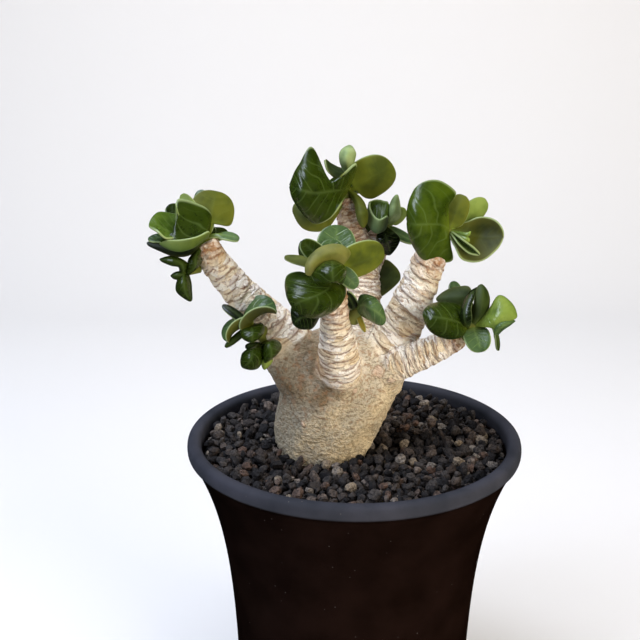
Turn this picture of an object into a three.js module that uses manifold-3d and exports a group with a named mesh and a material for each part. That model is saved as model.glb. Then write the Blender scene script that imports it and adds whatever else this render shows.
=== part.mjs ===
// A potted adenium: a swollen caudex with ringed branches and heads of curly leaves, in a flared plastic
// pot filled with lava gravel. Millimetres, +Z up, the origin at the middle of the pot's underside. The
// front is -Y.
import * as THREE from "three";
import { mergeVertices } from "three/addons/utils/BufferGeometryUtils.js";
import Module from "manifold-3d";

const wasm = await Module();
wasm.setup();

// The pot.
const potHeight = 100;
const rimRadius = 52.5; // the widest part of the rolled rim
const rimInnerRadius = 48.1;
const rimDepth = 4.6; // from the top of the rim down to its lower edge
const waistRadius = 37; // what the curve of the wall runs down to
const flare = 16; // how far the curve opens out above the waist
const flareDepth = 27; // the depth in which the flare falls to a third
const rimMiddle = 98.2; // the height that the curve is measured down from
const wallThickness = 1.6;
const floorThickness = 2.4;
const potSides = 36;
const footRound = 1.2; // the edge between the floor and the wall
// The rim's outline over its top, from the lower outer edge to the inner edge: how far in from the rim's
// radius and how far below the pot's height.
const rimOutline = [[0.7, rimDepth], [0, 2.6], [0.6, 0.6], [2.2, 0], [3.6, 0.6], [4.4, 2.2]];
const wallHeights = [91.7, 78, 56]; // where the wall's facets meet, below the rim
const drainHoles = 8;
const drainRadius = 3;
const drainCircle = 24;
const roundSides = 8; // the facets round a drain hole and round a shoot

// The gravel.
const gravelTop = 95.2;
const grainSize = 4.5; // the spacing of the grains in the relief
const grainStretch = 1.7; // how much further apart they are along a ring
const grainShift = 0.3; // how far they stray from an even spacing, as a share of it
const grainHeight = 0.8; // how far they rise and fall about the top
const fitGap = 0.35; // clearance round whatever stands in something else

// The caudex, from its buried foot to its crown: height, middle x, middle y, half width along x and along
// y.
const caudexSections = [
  [76, -9.4, -3.6, 5.5, 5.5],
  [80, -9.4, -3.8, 9.2, 9.0],
  [86, -9.6, -4.0, 11.6, 11.2],
  [91, -9.7, -4.0, 12.7, 11.9],
  [95, -9.6, -4.0, 13.4, 12.4],
  [99.5, -8.9, -4.0, 15.0, 13.5],
  [104, -7.9, -4.0, 16.2, 14.4],
  [108, -6.7, -4.0, 17.1, 15.0],
  [112.5, -5.8, -4.0, 17.7, 15.3],
  [117, -5.0, -4.0, 18.3, 15.4],
  [121, -4.5, -3.8, 18.6, 15.2],
  [125, -4.2, -3.5, 17.9, 14.4],
  [129, -4.0, -3.2, 15.8, 12.6],
  [132.3, -4.0, -3.0, 12.0, 9.6],
  [134.4, -4.0, -3.0, 7.0, 5.6],
];
const caudexSides = 24;
const caudexLump = 0.025; // how far the caudex swells and sinks, as a share of its radius
const caudexEnds = [3, 0.8]; // how far its foot and its crown bulge past the first and the last section

// The branches. A path runs from inside the caudex to the branch's end: x, y, z and radius. scar is the
// spacing of the leaf-scar rings along it, ridge their height, tilt how far they lean and sides the facets
// round it.
const branches = [
  {
    path: [
      [-13, -5, 119, 10.5], [-21, -5, 130.5, 8.4], [-28, -5.2, 140, 6.0],
      [-35.5, -6, 148.8, 4.7], [-41.5, -6.7, 157, 4.1], [-44.6, -7, 163, 3.6],
    ],
    scar: 3.6, ridge: 0.5, tilt: 0.25, sides: 10,
  },
  {
    path: [
      [-4.4, -10.5, 116, 6.6], [-4.7, -16, 124.5, 6.3], [-5.2, -20, 133, 5.5],
      [-6.0, -22.8, 141, 4.4], [-6.7, -25.2, 148.5, 3.7], [-6.9, -26.8, 154.5, 3.3],
    ],
    scar: 2.9, ridge: 0.5, tilt: 0.15, sides: 10,
  },
  {
    path: [
      [0, -3, 124, 7.6], [1.8, 2, 135.5, 6.0], [2.3, 5.8, 145, 5.5],
      [1.6, 8.4, 153.5, 5.0], [-0.6, 10.2, 162, 4.1], [-2.2, 12, 172.4, 3.4],
    ],
    scar: 3.4, ridge: 0.45, tilt: 0.2, sides: 10,
  },
  {
    path: [[2.0, 7, 148.5, 4.2], [5.0, 10.5, 154.5, 4.2], [7.4, 13.4, 159, 3.8], [8.4, 14.6, 161.4, 3.4]],
    scar: 3.0, ridge: 0.4, tilt: 0.2, sides: 10,
  },
  {
    path: [
      [6, -4, 119, 9.0], [10.8, -4, 129.5, 7.3], [14.6, -4, 138.5, 6.0],
      [18.3, -4, 147.5, 5.3], [21.6, -4.1, 156.3, 4.7], [23.2, -4.2, 159.6, 4.3],
    ],
    scar: 3.4, ridge: 0.55, tilt: 0.4, sides: 10,
  },
  {
    path: [
      [5, -8, 118.5, 7.4], [12.4, -10.8, 125, 5.5], [18, -12, 128.8, 4.4],
      [24.5, -13.2, 132.6, 3.8], [30.6, -14.0, 136.6, 3.2],
    ],
    scar: 2.8, ridge: 0.4, tilt: 0.25, sides: 10,
  },
];

// The leaves. shoot is the green growing tip of a branch, from its foot to its end, and twigs are thin side
// shoots. All other places are measured from the shoot's end. A leaf has a root and a tip. face is where its
// upper side looks, wide its flat width, or both half
// widths. curl is how many degrees the midrib turns up on its way to the tip, and cup how many either half
// turns up on its way to the margin (minus is down). stalk is the narrow share of its length, lobe how far
// the base reaches back past the stalk, broad how far the widest place lies towards the tip, square how
// full the outline is, wave how high the margin ripples, and bite a fold in one margin: side, place, depth
// and spread.
const leafThickness = 0.9;
const neckWidth = 1.8;
const leastWidth = 0.7; // across a leaf's tip, so that it ends in a small blunt edge
const leastBend = 0.5; // what a curl or a cup of 0 counts as, in degrees, so that its arc has a radius
const shootRadii = [2.4, 1.3];
const twigRadii = [1.3, 1.0];
const plainLeaf = {
  curl: 0, cup: 0, stalk: 0.1, lobe: 0.3, broad: 0, square: 2.2, wave: 0, bite: [0, 0, 0, 1],
};
const leaf = (fields) => ({ ...plainLeaf, ...fields });
// A leaf of a freer form is drawn by stations from its root to its tip: a point of one margin, one of the
// midrib and one of the other margin.
const drawnLeaf = (root, tip, stations) => ({ root, tip, stations });
const drawnEnds = [0.03, 0.97]; // the shares of its length where its first and its last row lie
const heads = {
  leaves_left: {
    shoot: [[-44.4, -6, 161.2], [-43.9, -6.5, 165]],
    twigs: [[[-2.6, -1, -9.7], [-6.5, -5.5, -9.8]]],
    leaves: [
      leaf({
        root: [-0.2, 0.2, -1.5], tip: [2.6, 4.5, 12.5], face: [-0.1, 1, 0.1],
        wide: 13.6, curl: 15, cup: 18, stalk: 0.36, lobe: 0.55,
      }),
      leaf({
        root: [-0.2, 0.2, -1.5], tip: [-2.8, 10.5, 11.7], face: [-0.3, -0.7, 0.5],
        wide: 7, curl: 20, cup: 15,
      }),
      leaf({
        root: [0, 0, -0.4], tip: [-11.7, 2.5, 8.4], face: [0.3, -0.75, 0.5],
        wide: 7.5, curl: 25, cup: 30,
      }),
      leaf({
        root: [0, 0, -0.4], tip: [-7.3, 3.5, 11.8], face: [0.3, 0.8, -0.3],
        wide: 5.2, curl: 25, cup: 20,
      }),
      leaf({
        root: [-0.2, 0.2, -1.5], tip: [-16.3, -6.5, 0.3], face: [-0.3, -0.4, 0.85],
        wide: 6, curl: -20, cup: 10,
      }),
      leaf({
        root: [-0.1, 0.1, -0.6], tip: [9.5, -1.5, -0.9], face: [0.1, -0.4, 0.9],
        wide: 4.4, curl: -50, cup: 10, stalk: 0.4,
      }),
      leaf({ root: [0, 0, -1], tip: [-4, 10, 2], face: [0.1, -0.3, 0.95], wide: 9, curl: 35, cup: 30 }),
      leaf({ root: [0.5, 0, -2], tip: [3, 9.5, 0], face: [0, -0.2, 1], wide: 8, curl: -40, cup: -20 }),
      leaf({ root: [0.5, 0, -2.5], tip: [-8, 7, -3], face: [-0.3, 0.5, 0.8], wide: 7, curl: -40, cup: 20 }),
      drawnLeaf([0, 0, 0], [-12.2, -10.5, 0.6], [
        [[1.2, 1.5, 6.3], [-0.1, -5.5, 0.9], [1.3, -7.5, 3.1]],
        [[-2.7, 0.5, 9.6], [-3.2, -9.5, -0.2], [-1.9, -11.5, 2.4]],
        [[-8.1, -2.5, 11.2], [-7.1, -11.5, -0.6], [-6, -12.5, 1.8]],
        [[-6.9, -6.5, 5], [-10.2, -11.5, -0.2], [-9.8, -12, 1.5]],
      ]),
      drawnLeaf([-0.1, 0.1, -0.8], [-15.5, -9, 5.2], [
        [[-4.2, -4.5, 0.4], [-4.3, -5, -0.1], [-4.4, -5.5, -0.4]],
        [[-7.1, -0.5, 5.5], [-7.5, -5.5, 1.5], [-7.6, -9.5, 1.5]],
        [[-10.4, 0.5, 6.8], [-10.3, -7.5, 2.9], [-10.3, -12.5, 2.2]],
        [[-14.1, -2, 7.3], [-13.3, -8.5, 4.8], [-12.4, -12.5, 4]],
      ]),
      drawnLeaf([-6.6, -5, -10.8], [-13.1, -6.5, -5.6], [
        [[-5.4, -5.5, -8.3], [-6.4, -8, -7.9], [-7.5, -6, -9.2]],
        [[-5.5, -6, -6.4], [-6.8, -8.5, -6.2], [-7.8, -7, -7.6]],
        [[-9.5, -5.5, -4.8], [-9.5, -8.5, -5.3], [-10, -7.5, -7]],
      ]),
      drawnLeaf([-0.2, 0.2, -1.5], [-16.7, -6.5, -0.8], [
        [[-4.6, -5, -4.5], [-4.1, -6, -2.2], [-4.8, -2.5, -1.5]],
        [[-8.8, -6.5, -4.6], [-8.5, -7.5, -2.1], [-9.3, -3.5, -0.4]],
        [[-12.9, -7, -2.8], [-13, -8, -1.3], [-13.5, -4.5, -0.5]],
      ]),
      drawnLeaf([-5.1, -4.5, -9.4], [-10.1, -5.5, -10.7], [
        [[-6.8, -5, -9.3], [-6.6, -7, -9.8], [-6.7, -6, -11.2]],
        [[-8.8, -5.5, -9.6], [-8.5, -7.5, -10], [-8.8, -6, -11.6]],
      ]),
      drawnLeaf([-0.2, 0.2, -1.5], [-5.4, -6, -10.1], [
        [[-4.5, -5, -5.1], [-2.7, -6.5, -4.5], [-1.7, -3, -4.3]],
        [[-5.2, -6.5, -7.7], [-3.2, -7.5, -7.2], [-1.5, -3.5, -7.3]],
      ]),
      drawnLeaf([-6.3, -4.5, -9.1], [-4.8, -6, -18], [
        [[-8.4, -5.5, -11.9], [-6.3, -8.5, -11.1], [-5.2, -4, -11.1]],
        [[-8.7, -6, -15.4], [-5.9, -9, -14.3], [-4.6, -4.5, -14.6]],
      ]),
    ],
  },
  leaves_left_low: {
    shoot: [[-27.8, -13, 137.1], [-31.2, -15, 139.9]],
    twigs: [[[2.8, 1, -1.9], [5.1, 0.5, -8.8]]],
    leaves: [
      leaf({
        root: [0, 0, 0], tip: [7.7, 0, 4.6], face: [-0.55, -0.25, 0.8],
        wide: [6.5, 7.5], curl: -110, cup: [95, 35], stalk: 0.05, lobe: 0.6,
      }),
      leaf({
        root: [0, 0, 0], tip: [-6.6, -3, -3.9], face: [-0.74, -0.2, 0.67],
        wide: [6, 5.5], curl: -90, cup: [35, 90], stalk: 0, lobe: 0.5,
      }),
      leaf({
        root: [0, 0, 0], tip: [-7.3, -2, -5.8], face: [0.6, -0.6, 0.5],
        wide: 2.4, curl: -20, cup: -35,
      }),
      leaf({ root: [0, 0, 0], tip: [-8.2, 3, 5.5], face: [0, -0.6, 0.75], wide: 3.2, curl: -30, cup: -20 }),
      leaf({
        root: [3.7, 1, -6.2], tip: [-1.5, -1, -6.2], face: [0, -0.8, 0.5],
        wide: 2.6, curl: -30, cup: -30,
      }),
      drawnLeaf([0, 0, 0], [0.8, -5, -3], [
        [[-2.3, -3, 0.3], [0.9, -4.5, 0.5], [3.6, -1, 1.2]],
        [[-2, -5, -1.8], [1, -7, -1], [4.2, -3, -1]],
      ]),
      drawnLeaf([2.5, 0, -5.9], [-2.1, -3.5, -11.5], [
        [[-1.8, -1.5, -7.5], [1, -4.5, -6.2], [4.2, -1, -7.1]],
        [[-2.6, -2, -8.9], [0.2, -6.5, -8.6], [2.3, -2.5, -12.2]],
      ]),
      drawnLeaf([3.4, 1, -5.6], [4.7, -3, -10.1], [
        [[3.8, -2, -6.4], [5.7, -4.5, -4.1], [7.3, 0, -4.3]],
        [[4, -3, -8.6], [6.3, -5.5, -7.1], [9.1, -1.5, -6]],
      ]),
      drawnLeaf([5.4, 0, -8.7], [4, -2, -12.7], [
        [[3.4, -1.5, -9.7], [5, -3, -9.8], [6.5, 0, -10.9]],
      ]),
    ],
  },
  leaves_back: {
    shoot: [[-2.4, 12, 172.5], [-1.8, 12, 175.9]],
    twigs: [],
    leaves: [
      leaf({
        root: [-0.2, 0, -1], tip: [12.9, -3, 7.9], face: [-0.1, 0.98, 0.1],
        wide: 13.5, curl: 15, cup: 15, stalk: 0.15, lobe: 0.5,
      }),
      leaf({ root: [0, 0, -1], tip: [-2, 10, 2], face: [0, -0.4, 0.9], wide: 10.5, curl: 40, cup: 30 }),
      leaf({ root: [0, 0, -2], tip: [-8, 7, -3], face: [-0.2, 0.4, 0.9], wide: 9, curl: -45, cup: 15 }),
      leaf({ root: [0, 0, -2], tip: [5, 8, -3], face: [0.2, 0.3, 0.9], wide: 7.5, curl: -40, cup: 20 }),
      drawnLeaf([0, 0, 0], [-17.6, -13, 2.9], [
        [[1.8, -11.5, 9.3], [-2.9, -8, 1.1], [-2.7, -12, -2.9]],
        [[-5.6, -10, 3.7], [-6.8, -13, 1.1], [-6.2, -14, -6.9]],
        [[-11.1, -9, 13.8], [-10.7, -16, 1.4], [-11, -14, -8]],
        [[-14.8, -12, 9.6], [-14.4, -17, 2.5], [-15.7, -15, -2.7]],
      ]),
      drawnLeaf([-0.2, 0, -1.4], [-17, -8, -5.9], [
        [[-4.9, -6, -9.4], [-5.6, -7, -5.5], [-4.4, -5, -2.8]],
        [[-8.6, -8, -11.9], [-10.4, -9.5, -6.5], [-11.3, -7, -2.4]],
        [[-14, -9, -10.9], [-14, -10, -6.1], [-16.1, -8, -2.8]],
      ]),
      drawnLeaf([-0.1, 0, -0.7], [4.2, -9, -10.4], [
        [[3.7, -4, -2.5], [2.4, -6.5, -2.8], [1.5, -4, -3.9]],
        [[5.4, -8.5, -5.6], [3.5, -10, -5.8], [2, -8, -6.5]],
        [[5.4, -8.5, -8.4], [4, -9.5, -8.6], [2.7, -8, -8.9]],
      ]),
      drawnLeaf([0, 0, 0], [-7.4, -5, 9.4], [
        [[-1.7, -6, 3.3], [-1.1, -2, 4], [0.3, 2, 5.5]],
        [[-4.4, -7, 4.1], [-3.8, -5, 5.3], [-2.6, 2, 5.8]],
        [[-6.7, -7, 6.4], [-6, -5, 7], [-5.6, -1, 7.7]],
      ]),
      drawnLeaf([0, 0, 0], [0.1, -2, 13.1], [
        [[-1.6, -1, 5.4], [-0.4, -3, 5.4], [1.2, 0, 5.5]],
        [[-2.9, -3, 8.9], [-1, -7.5, 9.2], [1.5, -3, 8.8]],
        [[-2.6, -3, 11.8], [-0.7, -7, 12.1], [1.8, -3, 11.2]],
      ]),
    ],
  },
  leaves_back_right: {
    shoot: [[8.4, 15, 161.4], [9.9, 15, 164.3]],
    twigs: [],
    leaves: [
      leaf({
        root: [-0.6, 0, -1.1], tip: [6.4, 3, 3.5], face: [-0.3, 0.9, 0.2],
        wide: 5.5, curl: 20, cup: 20, stalk: 0.3,
      }),
      leaf({
        root: [-0.6, 0, -1.1], tip: [8.9, 0, -6.1], face: [0, -0.5, 0.85],
        wide: 5, curl: 20, cup: 20,
      }),
      leaf({
        root: [-0.6, 0, -1.1], tip: [-9.1, -1, -3.3], face: [0, -0.7, 0.6],
        wide: 5, curl: -20, cup: 20,
      }),
      leaf({ root: [0, 0, -1], tip: [1, 9, 2], face: [0, -0.4, 0.9], wide: 7.5, curl: 35, cup: 30 }),
      leaf({ root: [0, 0, -1.5], tip: [-5, 6, -1], face: [-0.2, 0.3, 0.9], wide: 6, curl: -40, cup: 20 }),
      drawnLeaf([0, 0, 0], [-5.3, -5.5, 7.6], [
        [[0.6, -4, 6.8], [-1.2, -10, 0.3], [-0.3, -11, 4.6]],
        [[-1.2, -3, 7.7], [-3.8, -11, -0.1], [-2.9, -13, 4]],
        [[-3.4, -3, 8], [-5.9, -6.5, 2.6], [-4.9, -9, 5.3]],
      ]),
      drawnLeaf([-0.3, 0, -0.6], [3.1, -2, 9.2], [
        [[0.4, -3, 2.8], [1.7, -6, 3.8], [4.1, -1, 1.8]],
        [[1.2, -3, 6.8], [2.3, -5, 7], [4.2, -1, 5.6]],
      ]),
      drawnLeaf([-0.6, 0, -1.1], [1, -6, -8.7], [
        [[-3.3, -7, -2.6], [-0.4, -8, -3], [2.8, -6, -1.9]],
        [[-2.1, -6, -6.9], [0.6, -7.5, -5.9], [4.1, -5, -4.3]],
      ]),
    ],
  },
  leaves_front: {
    shoot: [[-6.8, -27, 154.5], [-6.5, -27, 160.5]],
    twigs: [],
    leaves: [
      leaf({
        root: [0, 0, 0], tip: [13.7, 5, 3.5], face: [0.1, 0.9, 0.3],
        wide: 11.4, curl: 20, cup: 20, stalk: 0.1, lobe: 0.3,
      }),
      leaf({
        root: [0, 0, -0.6], tip: [-9.3, 1, 7.4], face: [0.3, -0.9, 0.3],
        wide: 6.2, curl: 20, cup: 30,
      }),
      leaf({ root: [0, 0, -0.6], tip: [-14, -2, 3.5], face: [0, 0.6, -0.8], wide: 3.8, curl: 20, cup: 20 }),
      leaf({
        root: [0, 0, -0.6], tip: [0.6, 9, 10.2], face: [0, -0.85, 0.5],
        wide: 11.5, curl: 30, cup: 20,
      }),
      leaf({ root: [0, 0, -0.6], tip: [-1.4, 5, 7.1], face: [0, -0.8, 0.6], wide: 7.5, curl: 30, cup: 20 }),
      leaf({
        root: [0, 0, 0], tip: [5.7, -5, -4.4], face: [0.3, -0.8, 0.4],
        wide: 5.5, curl: -40, cup: 20,
      }),
      leaf({ root: [0, 0, -2], tip: [3.5, 8, 0], face: [0.3, -0.3, 0.9], wide: 7.5, curl: 30, cup: 30 }),
      drawnLeaf([0, 0, -1], [-7.9, -8, 0.5], [
        [[1.6, -2, 0.8], [2.5, -3, 3.3], [4.1, 0, 4]],
        [[-0.6, -4, 2.1], [0.2, -5, 5.5], [1.1, -1, 6.9]],
        [[-3.1, -5, 1.3], [-3.6, -7, 5.1], [-3.6, -3, 6.8]],
        [[-5.5, -7, -0.2], [-6.6, -9, 3.1], [-7.3, -6, 4.2]],
      ]),
      drawnLeaf([0, 0, -0.3], [-9.4, 2.5, 7.1], [
        [[-5.3, 1.5, 1.2], [-5.3, 1, 0.7], [-5.3, 1.5, 0]],
        [[-7.9, 1.5, 3.5], [-8.7, 0.7, 3], [-9.3, 1.5, 2.2]],
        [[-8.6, 2, 5.3], [-9.5, 1.2, 5.1], [-10.1, 2, 4.9]],
      ]),
      drawnLeaf([-0.1, 0, -2.4], [-0.9, -6, 3.5], [
        [[1.7, -7, -2.7], [-0.7, -11, -0.8], [-3.9, -8, -2.4]],
        [[2.9, -6.5, 0.5], [-1, -11.5, 2.4], [-6.6, -8, 0]],
        [[1.8, -5, 2.1], [-0.9, -9, 3.3], [-4.2, -7, 2.6]],
      ]),
      drawnLeaf([-0.1, 0, -2.4], [-11, -7.5, -9.9], [
        [[-5.8, -2, -2], [-2, -6, -4.4], [2.9, -2, -5.5]],
        [[-10.3, 0, -1], [-4.7, -9.5, -5.1], [1.5, -4, -9.2]],
        [[-13.6, -1, -2.3], [-7.7, -11, -5.8], [-2.5, -6, -11.9]],
        [[-13.2, -6, -6.1], [-10.4, -10, -7.2], [-7.4, -7, -12.2]],
      ]),
      drawnLeaf([-0.1, 0, -2.4], [-11.4, -3, -15.3], [
        [[-9.7, -1, -10.1], [-6.9, -4, -11.8], [-5, -2, -15]],
        [[-12.2, -2, -10.7], [-9.7, -5, -13], [-8.1, -3.5, -16.8]],
      ]),
    ],
  },
  leaves_front_side: {
    shoot: [[-1.6, -23, 144.8], [0, -25, 147.5]],
    twigs: [],
    leaves: [
      leaf({
        root: [-0.3, 0.4, -0.5], tip: [-3.2, -2, 6.1], face: [-0.2, -0.9, 0.3],
        wide: 3.6, curl: 20, cup: 30,
      }),
      leaf({
        root: [-0.3, 0.4, -0.5], tip: [2, -2, -5.6], face: [0, -0.9, 0.3],
        wide: 1.8, curl: 20, cup: 30,
      }),
      drawnLeaf([-0.1, 0.1, -0.2], [7.3, -4, -2], [
        [[0.3, 0, -0.9], [1.3, -3, 2.6], [0.7, 0.5, 4.4]],
        [[3, -2, -2], [3.6, -6, 2.4], [4.3, -1, 4.5]],
        [[5.5, -3.5, -3], [5.9, -5.5, 0.5], [6.6, -3, 2.1]],
      ]),
    ],
  },
  leaf_back_low: {
    shoot: [[5.7, 12, 146], [7.7, 14, 146.1]],
    twigs: [],
    leaves: [
      drawnLeaf([-0.8, -0.8, 0], [6.9, 0, 0.3], [
        [[1.8, 0, 6.6], [0.8, -2, 0.9], [-0.3, -1.5, -5.3]],
        [[5.8, 0.5, 4], [4, -1.5, 0.7], [3.1, -1.5, -3.5]],
      ]),
    ],
  },
  leaves_right: {
    shoot: [[23.2, -4, 159.5], [27.3, -5, 166.4]],
    twigs: [],
    leaves: [
      leaf({
        root: [0, 0, 0], tip: [4.1, 2, 10.1], face: [0.3, 0.9, 0.2],
        wide: 7.4, curl: 20, cup: 25, stalk: 0.1,
      }),
      leaf({
        root: [0, 0, 0], tip: [11.9, 8, 7.1], face: [0.3, 0.9, 0.2],
        wide: 7, curl: 20, cup: 20, stalk: 0.3,
      }),
      leaf({ root: [0, 0, -1], tip: [2, 10, 3], face: [0, -0.4, 0.9], wide: 10, curl: 35, cup: 30 }),
      leaf({ root: [-1, 0, -2], tip: [-6, 8, 1], face: [-0.2, -0.2, 0.9], wide: 9, curl: -40, cup: 20 }),
      leaf({ root: [0, 0, -2], tip: [8, 7, -4], face: [0.2, 0.4, 0.9], wide: 7.5, curl: -40, cup: 20 }),
      drawnLeaf([0, 0, 0], [-12.7, -4, 3.5], [
        [[-0.3, 0, 7.5], [-3.1, -4, 2.4], [0.4, -1.5, -3.9]],
        [[1.8, 1, 11.1], [-6, -6, 3.1], [1.3, 0, -9.2]],
        [[-4, 0, 15], [-8.1, -7, 3.3], [-4, -2, -9.3]],
        [[-10.4, -2, 12.8], [-10.7, -7, 3.3], [-9.3, -4, -6.4]],
      ]),
      drawnLeaf([0, 0, 0], [15.8, -2, -1.7], [
        [[5.6, 1, 2.5], [5.4, 0, -1.5], [1.5, -4, -4.6]],
        [[9.3, 0.5, 4], [8.8, 1, -2.3], [3.8, -5, -8]],
        [[13, -0.5, 3.4], [12.2, 0, -2.4], [9.2, -4.5, -8.4]],
        [[15.3, -1.5, 1.2], [14.4, -1, -1.9], [13.6, -3.5, -5.2]],
      ]),
      drawnLeaf([0, 0, 0], [8.5, -6, -6], [
        [[1.4, -5, -1.9], [2.4, -3.5, -1.8], [2.7, -6, -0.9]],
        [[3.2, -6, -4], [4.6, -4, -3.7], [4.9, -7, -2.4]],
        [[5.6, -6.5, -5.6], [6.6, -5, -5.2], [7, -7, -3.9]],
      ]),
      drawnLeaf([0, 0, 0], [5.9, -4.5, 0.6], [
        [[4.5, -4.5, -0.9], [4.4, -4.8, -0.3], [4.2, -4, 0.1]],
      ]),
      drawnLeaf([0, 0, 0], [5.4, -4.5, -2.3], [
        [[4.1, -4.2, -2.4], [4.3, -5, -1.4], [4.8, -4, -1.1]],
      ]),
    ],
  },
  leaves_right_low: {
    shoot: [[30.3, -14, 137.1], [34.4, -15, 140.2]],
    twigs: [],
    leaves: [
      leaf({
        root: [-0.4, 0.1, -0.3], tip: [1.3, -7, -6], face: [0, -0.75, 0.65],
        wide: 8.2, curl: -20, cup: 25, stalk: 0.1, lobe: 0.3,
      }),
      leaf({
        root: [-1.7, 0.4, -1.2], tip: [-5.6, 9, 10.9], face: [0, -0.8, 0.5],
        wide: 4.5, curl: 20, cup: 20, stalk: 0.4,
      }),
      leaf({
        root: [5.1, -4.2, 1.6], tip: [7.1, -1.5, -7.2], face: [0.4, -0.8, 0.3],
        wide: 1.8, curl: -20, cup: 20, stalk: 0.1, broad: -0.6,
      }),
      leaf({ root: [0, 0, -1], tip: [-3, 8.5, 3], face: [0, -0.4, 0.9], wide: 8.5, curl: 35, cup: 30 }),
      leaf({ root: [0, 0, -1.5], tip: [5, 7.5, -1], face: [0.2, 0.2, 0.9], wide: 7, curl: -40, cup: 20 }),
      drawnLeaf([-1.7, 0.4, -1.2], [-15.6, -6, 5.2], [
        [[-3.7, 2, 4.9], [-5, -4, 1.9], [-3.5, -3, -2.7]],
        [[-8.3, 1, 6.7], [-9.2, -7.5, 4.1], [-8.5, -6, -2.4]],
        [[-13, -2, 6.8], [-13.2, -8, 4.9], [-13.3, -7, 0.2]],
      ]),
      drawnLeaf([-0.6, 0.1, -0.4], [-10.5, 5.5, 6.3], [
        [[-0.2, 2.5, 6], [-2.1, 2, 7.3], [-0.6, 4, 9.7]],
        [[-4.5, 3, 4.6], [-5, 2, 8], [-4.3, 6, 10]],
        [[-8.2, 4, 5.2], [-8.3, 3, 7.5], [-8.1, 6, 8.7]],
      ]),
      drawnLeaf([-1.7, 0.4, -1.2], [0.7, 2, 10.8], [
        [[-1.4, -5, 2.8], [-3.2, -5, 2.8], [-4.1, -2, 1.5]],
        [[-1.6, -4.5, 6.5], [-3.1, -4, 6.4], [-3.9, -1.5, 5.9]],
        [[-0.4, -2, 9.1], [-1.5, -1.5, 9.3], [-2.3, 0.5, 9]],
      ]),
      drawnLeaf([-0.1, 0, 0], [1.7, 1, 11.9], [
        [[-0.5, -0.5, 3.2], [1, -2, 3.7], [3.6, 1.5, 2]],
        [[-0.2, -0.5, 7.8], [1.5, -2.5, 8], [4.5, 1.5, 6.9]],
        [[0.5, 0.5, 10.9], [1.7, -1.5, 10.8], [3.6, 2, 10.1]],
      ]),
      drawnLeaf([0, 0, 0], [11.8, -3, 3.4], [
        [[3.8, -4, 0.5], [4, -3.5, 2.9], [4.2, 0, 4.7]],
        [[6.2, -5, 0.3], [6.6, -4.5, 5.3], [7.1, 1, 8.8]],
        [[8.7, -5, 2.3], [9.3, -4, 5.3], [10.4, -0.5, 7]],
      ]),
      drawnLeaf([5.8, -2, -3], [11.3, -3.5, 2.5], [
        [[6.9, -3, -1.8], [5.9, -5.5, 0.1], [5.4, -5, 0.3]],
        [[8.8, -3.5, 0.3], [7.6, -6.5, 2], [7.2, -5.5, 2.5]],
      ]),
    ],
  },
};

const potColour = "#1d1b1b";
const gravelColour = "#3b3a3b";
const barkColour = "#cdb897";
const leafColour = "#3d5a2c";

const pot = makePot();
const body = makeBody(0);
const clearOfBody = makeBody(fitGap);
const plant = new THREE.Group();
addPart("pot", pot, potColour, 0.45);
addPart("gravel", makeGravel().subtract(clearOfBody), gravelColour, 0.95);
addPart("caudex_and_branches", body, barkColour, 0.85);
for (const [name, head] of Object.entries(heads)) {
  addPart(name, makeHead(head).subtract(clearOfBody), leafColour, 0.45);
}

export default plant;

function addPart(name, solid, colour, roughness) {
  const material = new THREE.MeshStandardMaterial({ color: colour, roughness, metalness: 0 });
  const mesh = new THREE.Mesh(toGeometry(largest(solid)), material);
  mesh.name = name;
  plant.add(mesh);
}

// The distance from the pot's axis to the outside of its wall, at a height.
function wallRadius(height) {
  return waistRadius + flare * Math.exp(-(rimMiddle - height) / flareDepth);
}

// The distance from the pot's axis to the inside of its wall, at a height.
function insideRadius(height) {
  return Math.min(wallRadius(height) - wallThickness, rimInnerRadius - 0.1);
}

function makePot() {
  const rimFoot = potHeight - rimDepth;
  const outside = [footRound, ...[...wallHeights].reverse(), rimFoot];
  const inside = [rimFoot, ...wallHeights, floorThickness];
  const profile = [new THREE.Vector2(0, 0), new THREE.Vector2(wallRadius(0) - footRound, 0)];
  for (const height of outside) profile.push(new THREE.Vector2(wallRadius(height), height));
  for (const [inward, down] of rimOutline) {
    profile.push(new THREE.Vector2(rimRadius - inward, potHeight - down));
  }
  for (const height of inside) profile.push(new THREE.Vector2(insideRadius(height), height));
  profile.push(new THREE.Vector2(0, floorThickness));
  let solid = toSolid(new THREE.LatheGeometry(profile, potSides).rotateX(Math.PI / 2));
  for (let i = 0; i < drainHoles; i += 1) {
    const angle = ((i + 0.5) / drainHoles) * 2 * Math.PI;
    const hole = new THREE.CylinderGeometry(drainRadius, drainRadius, floorThickness * 3, roundSides);
    hole.rotateX(Math.PI / 2).translate(drainCircle * Math.cos(angle), drainCircle * Math.sin(angle), 0);
    solid = solid.subtract(toSolid(hole));
  }
  return solid;
}

// A value between -1 and 1 that looks random and is always the same for the same place.
function scatter(i, j) {
  const value = Math.sin(i * 127.1 + j * 311.7) * 43758.5453;
  return 2 * (value - Math.floor(value)) - 1;
}

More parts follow.
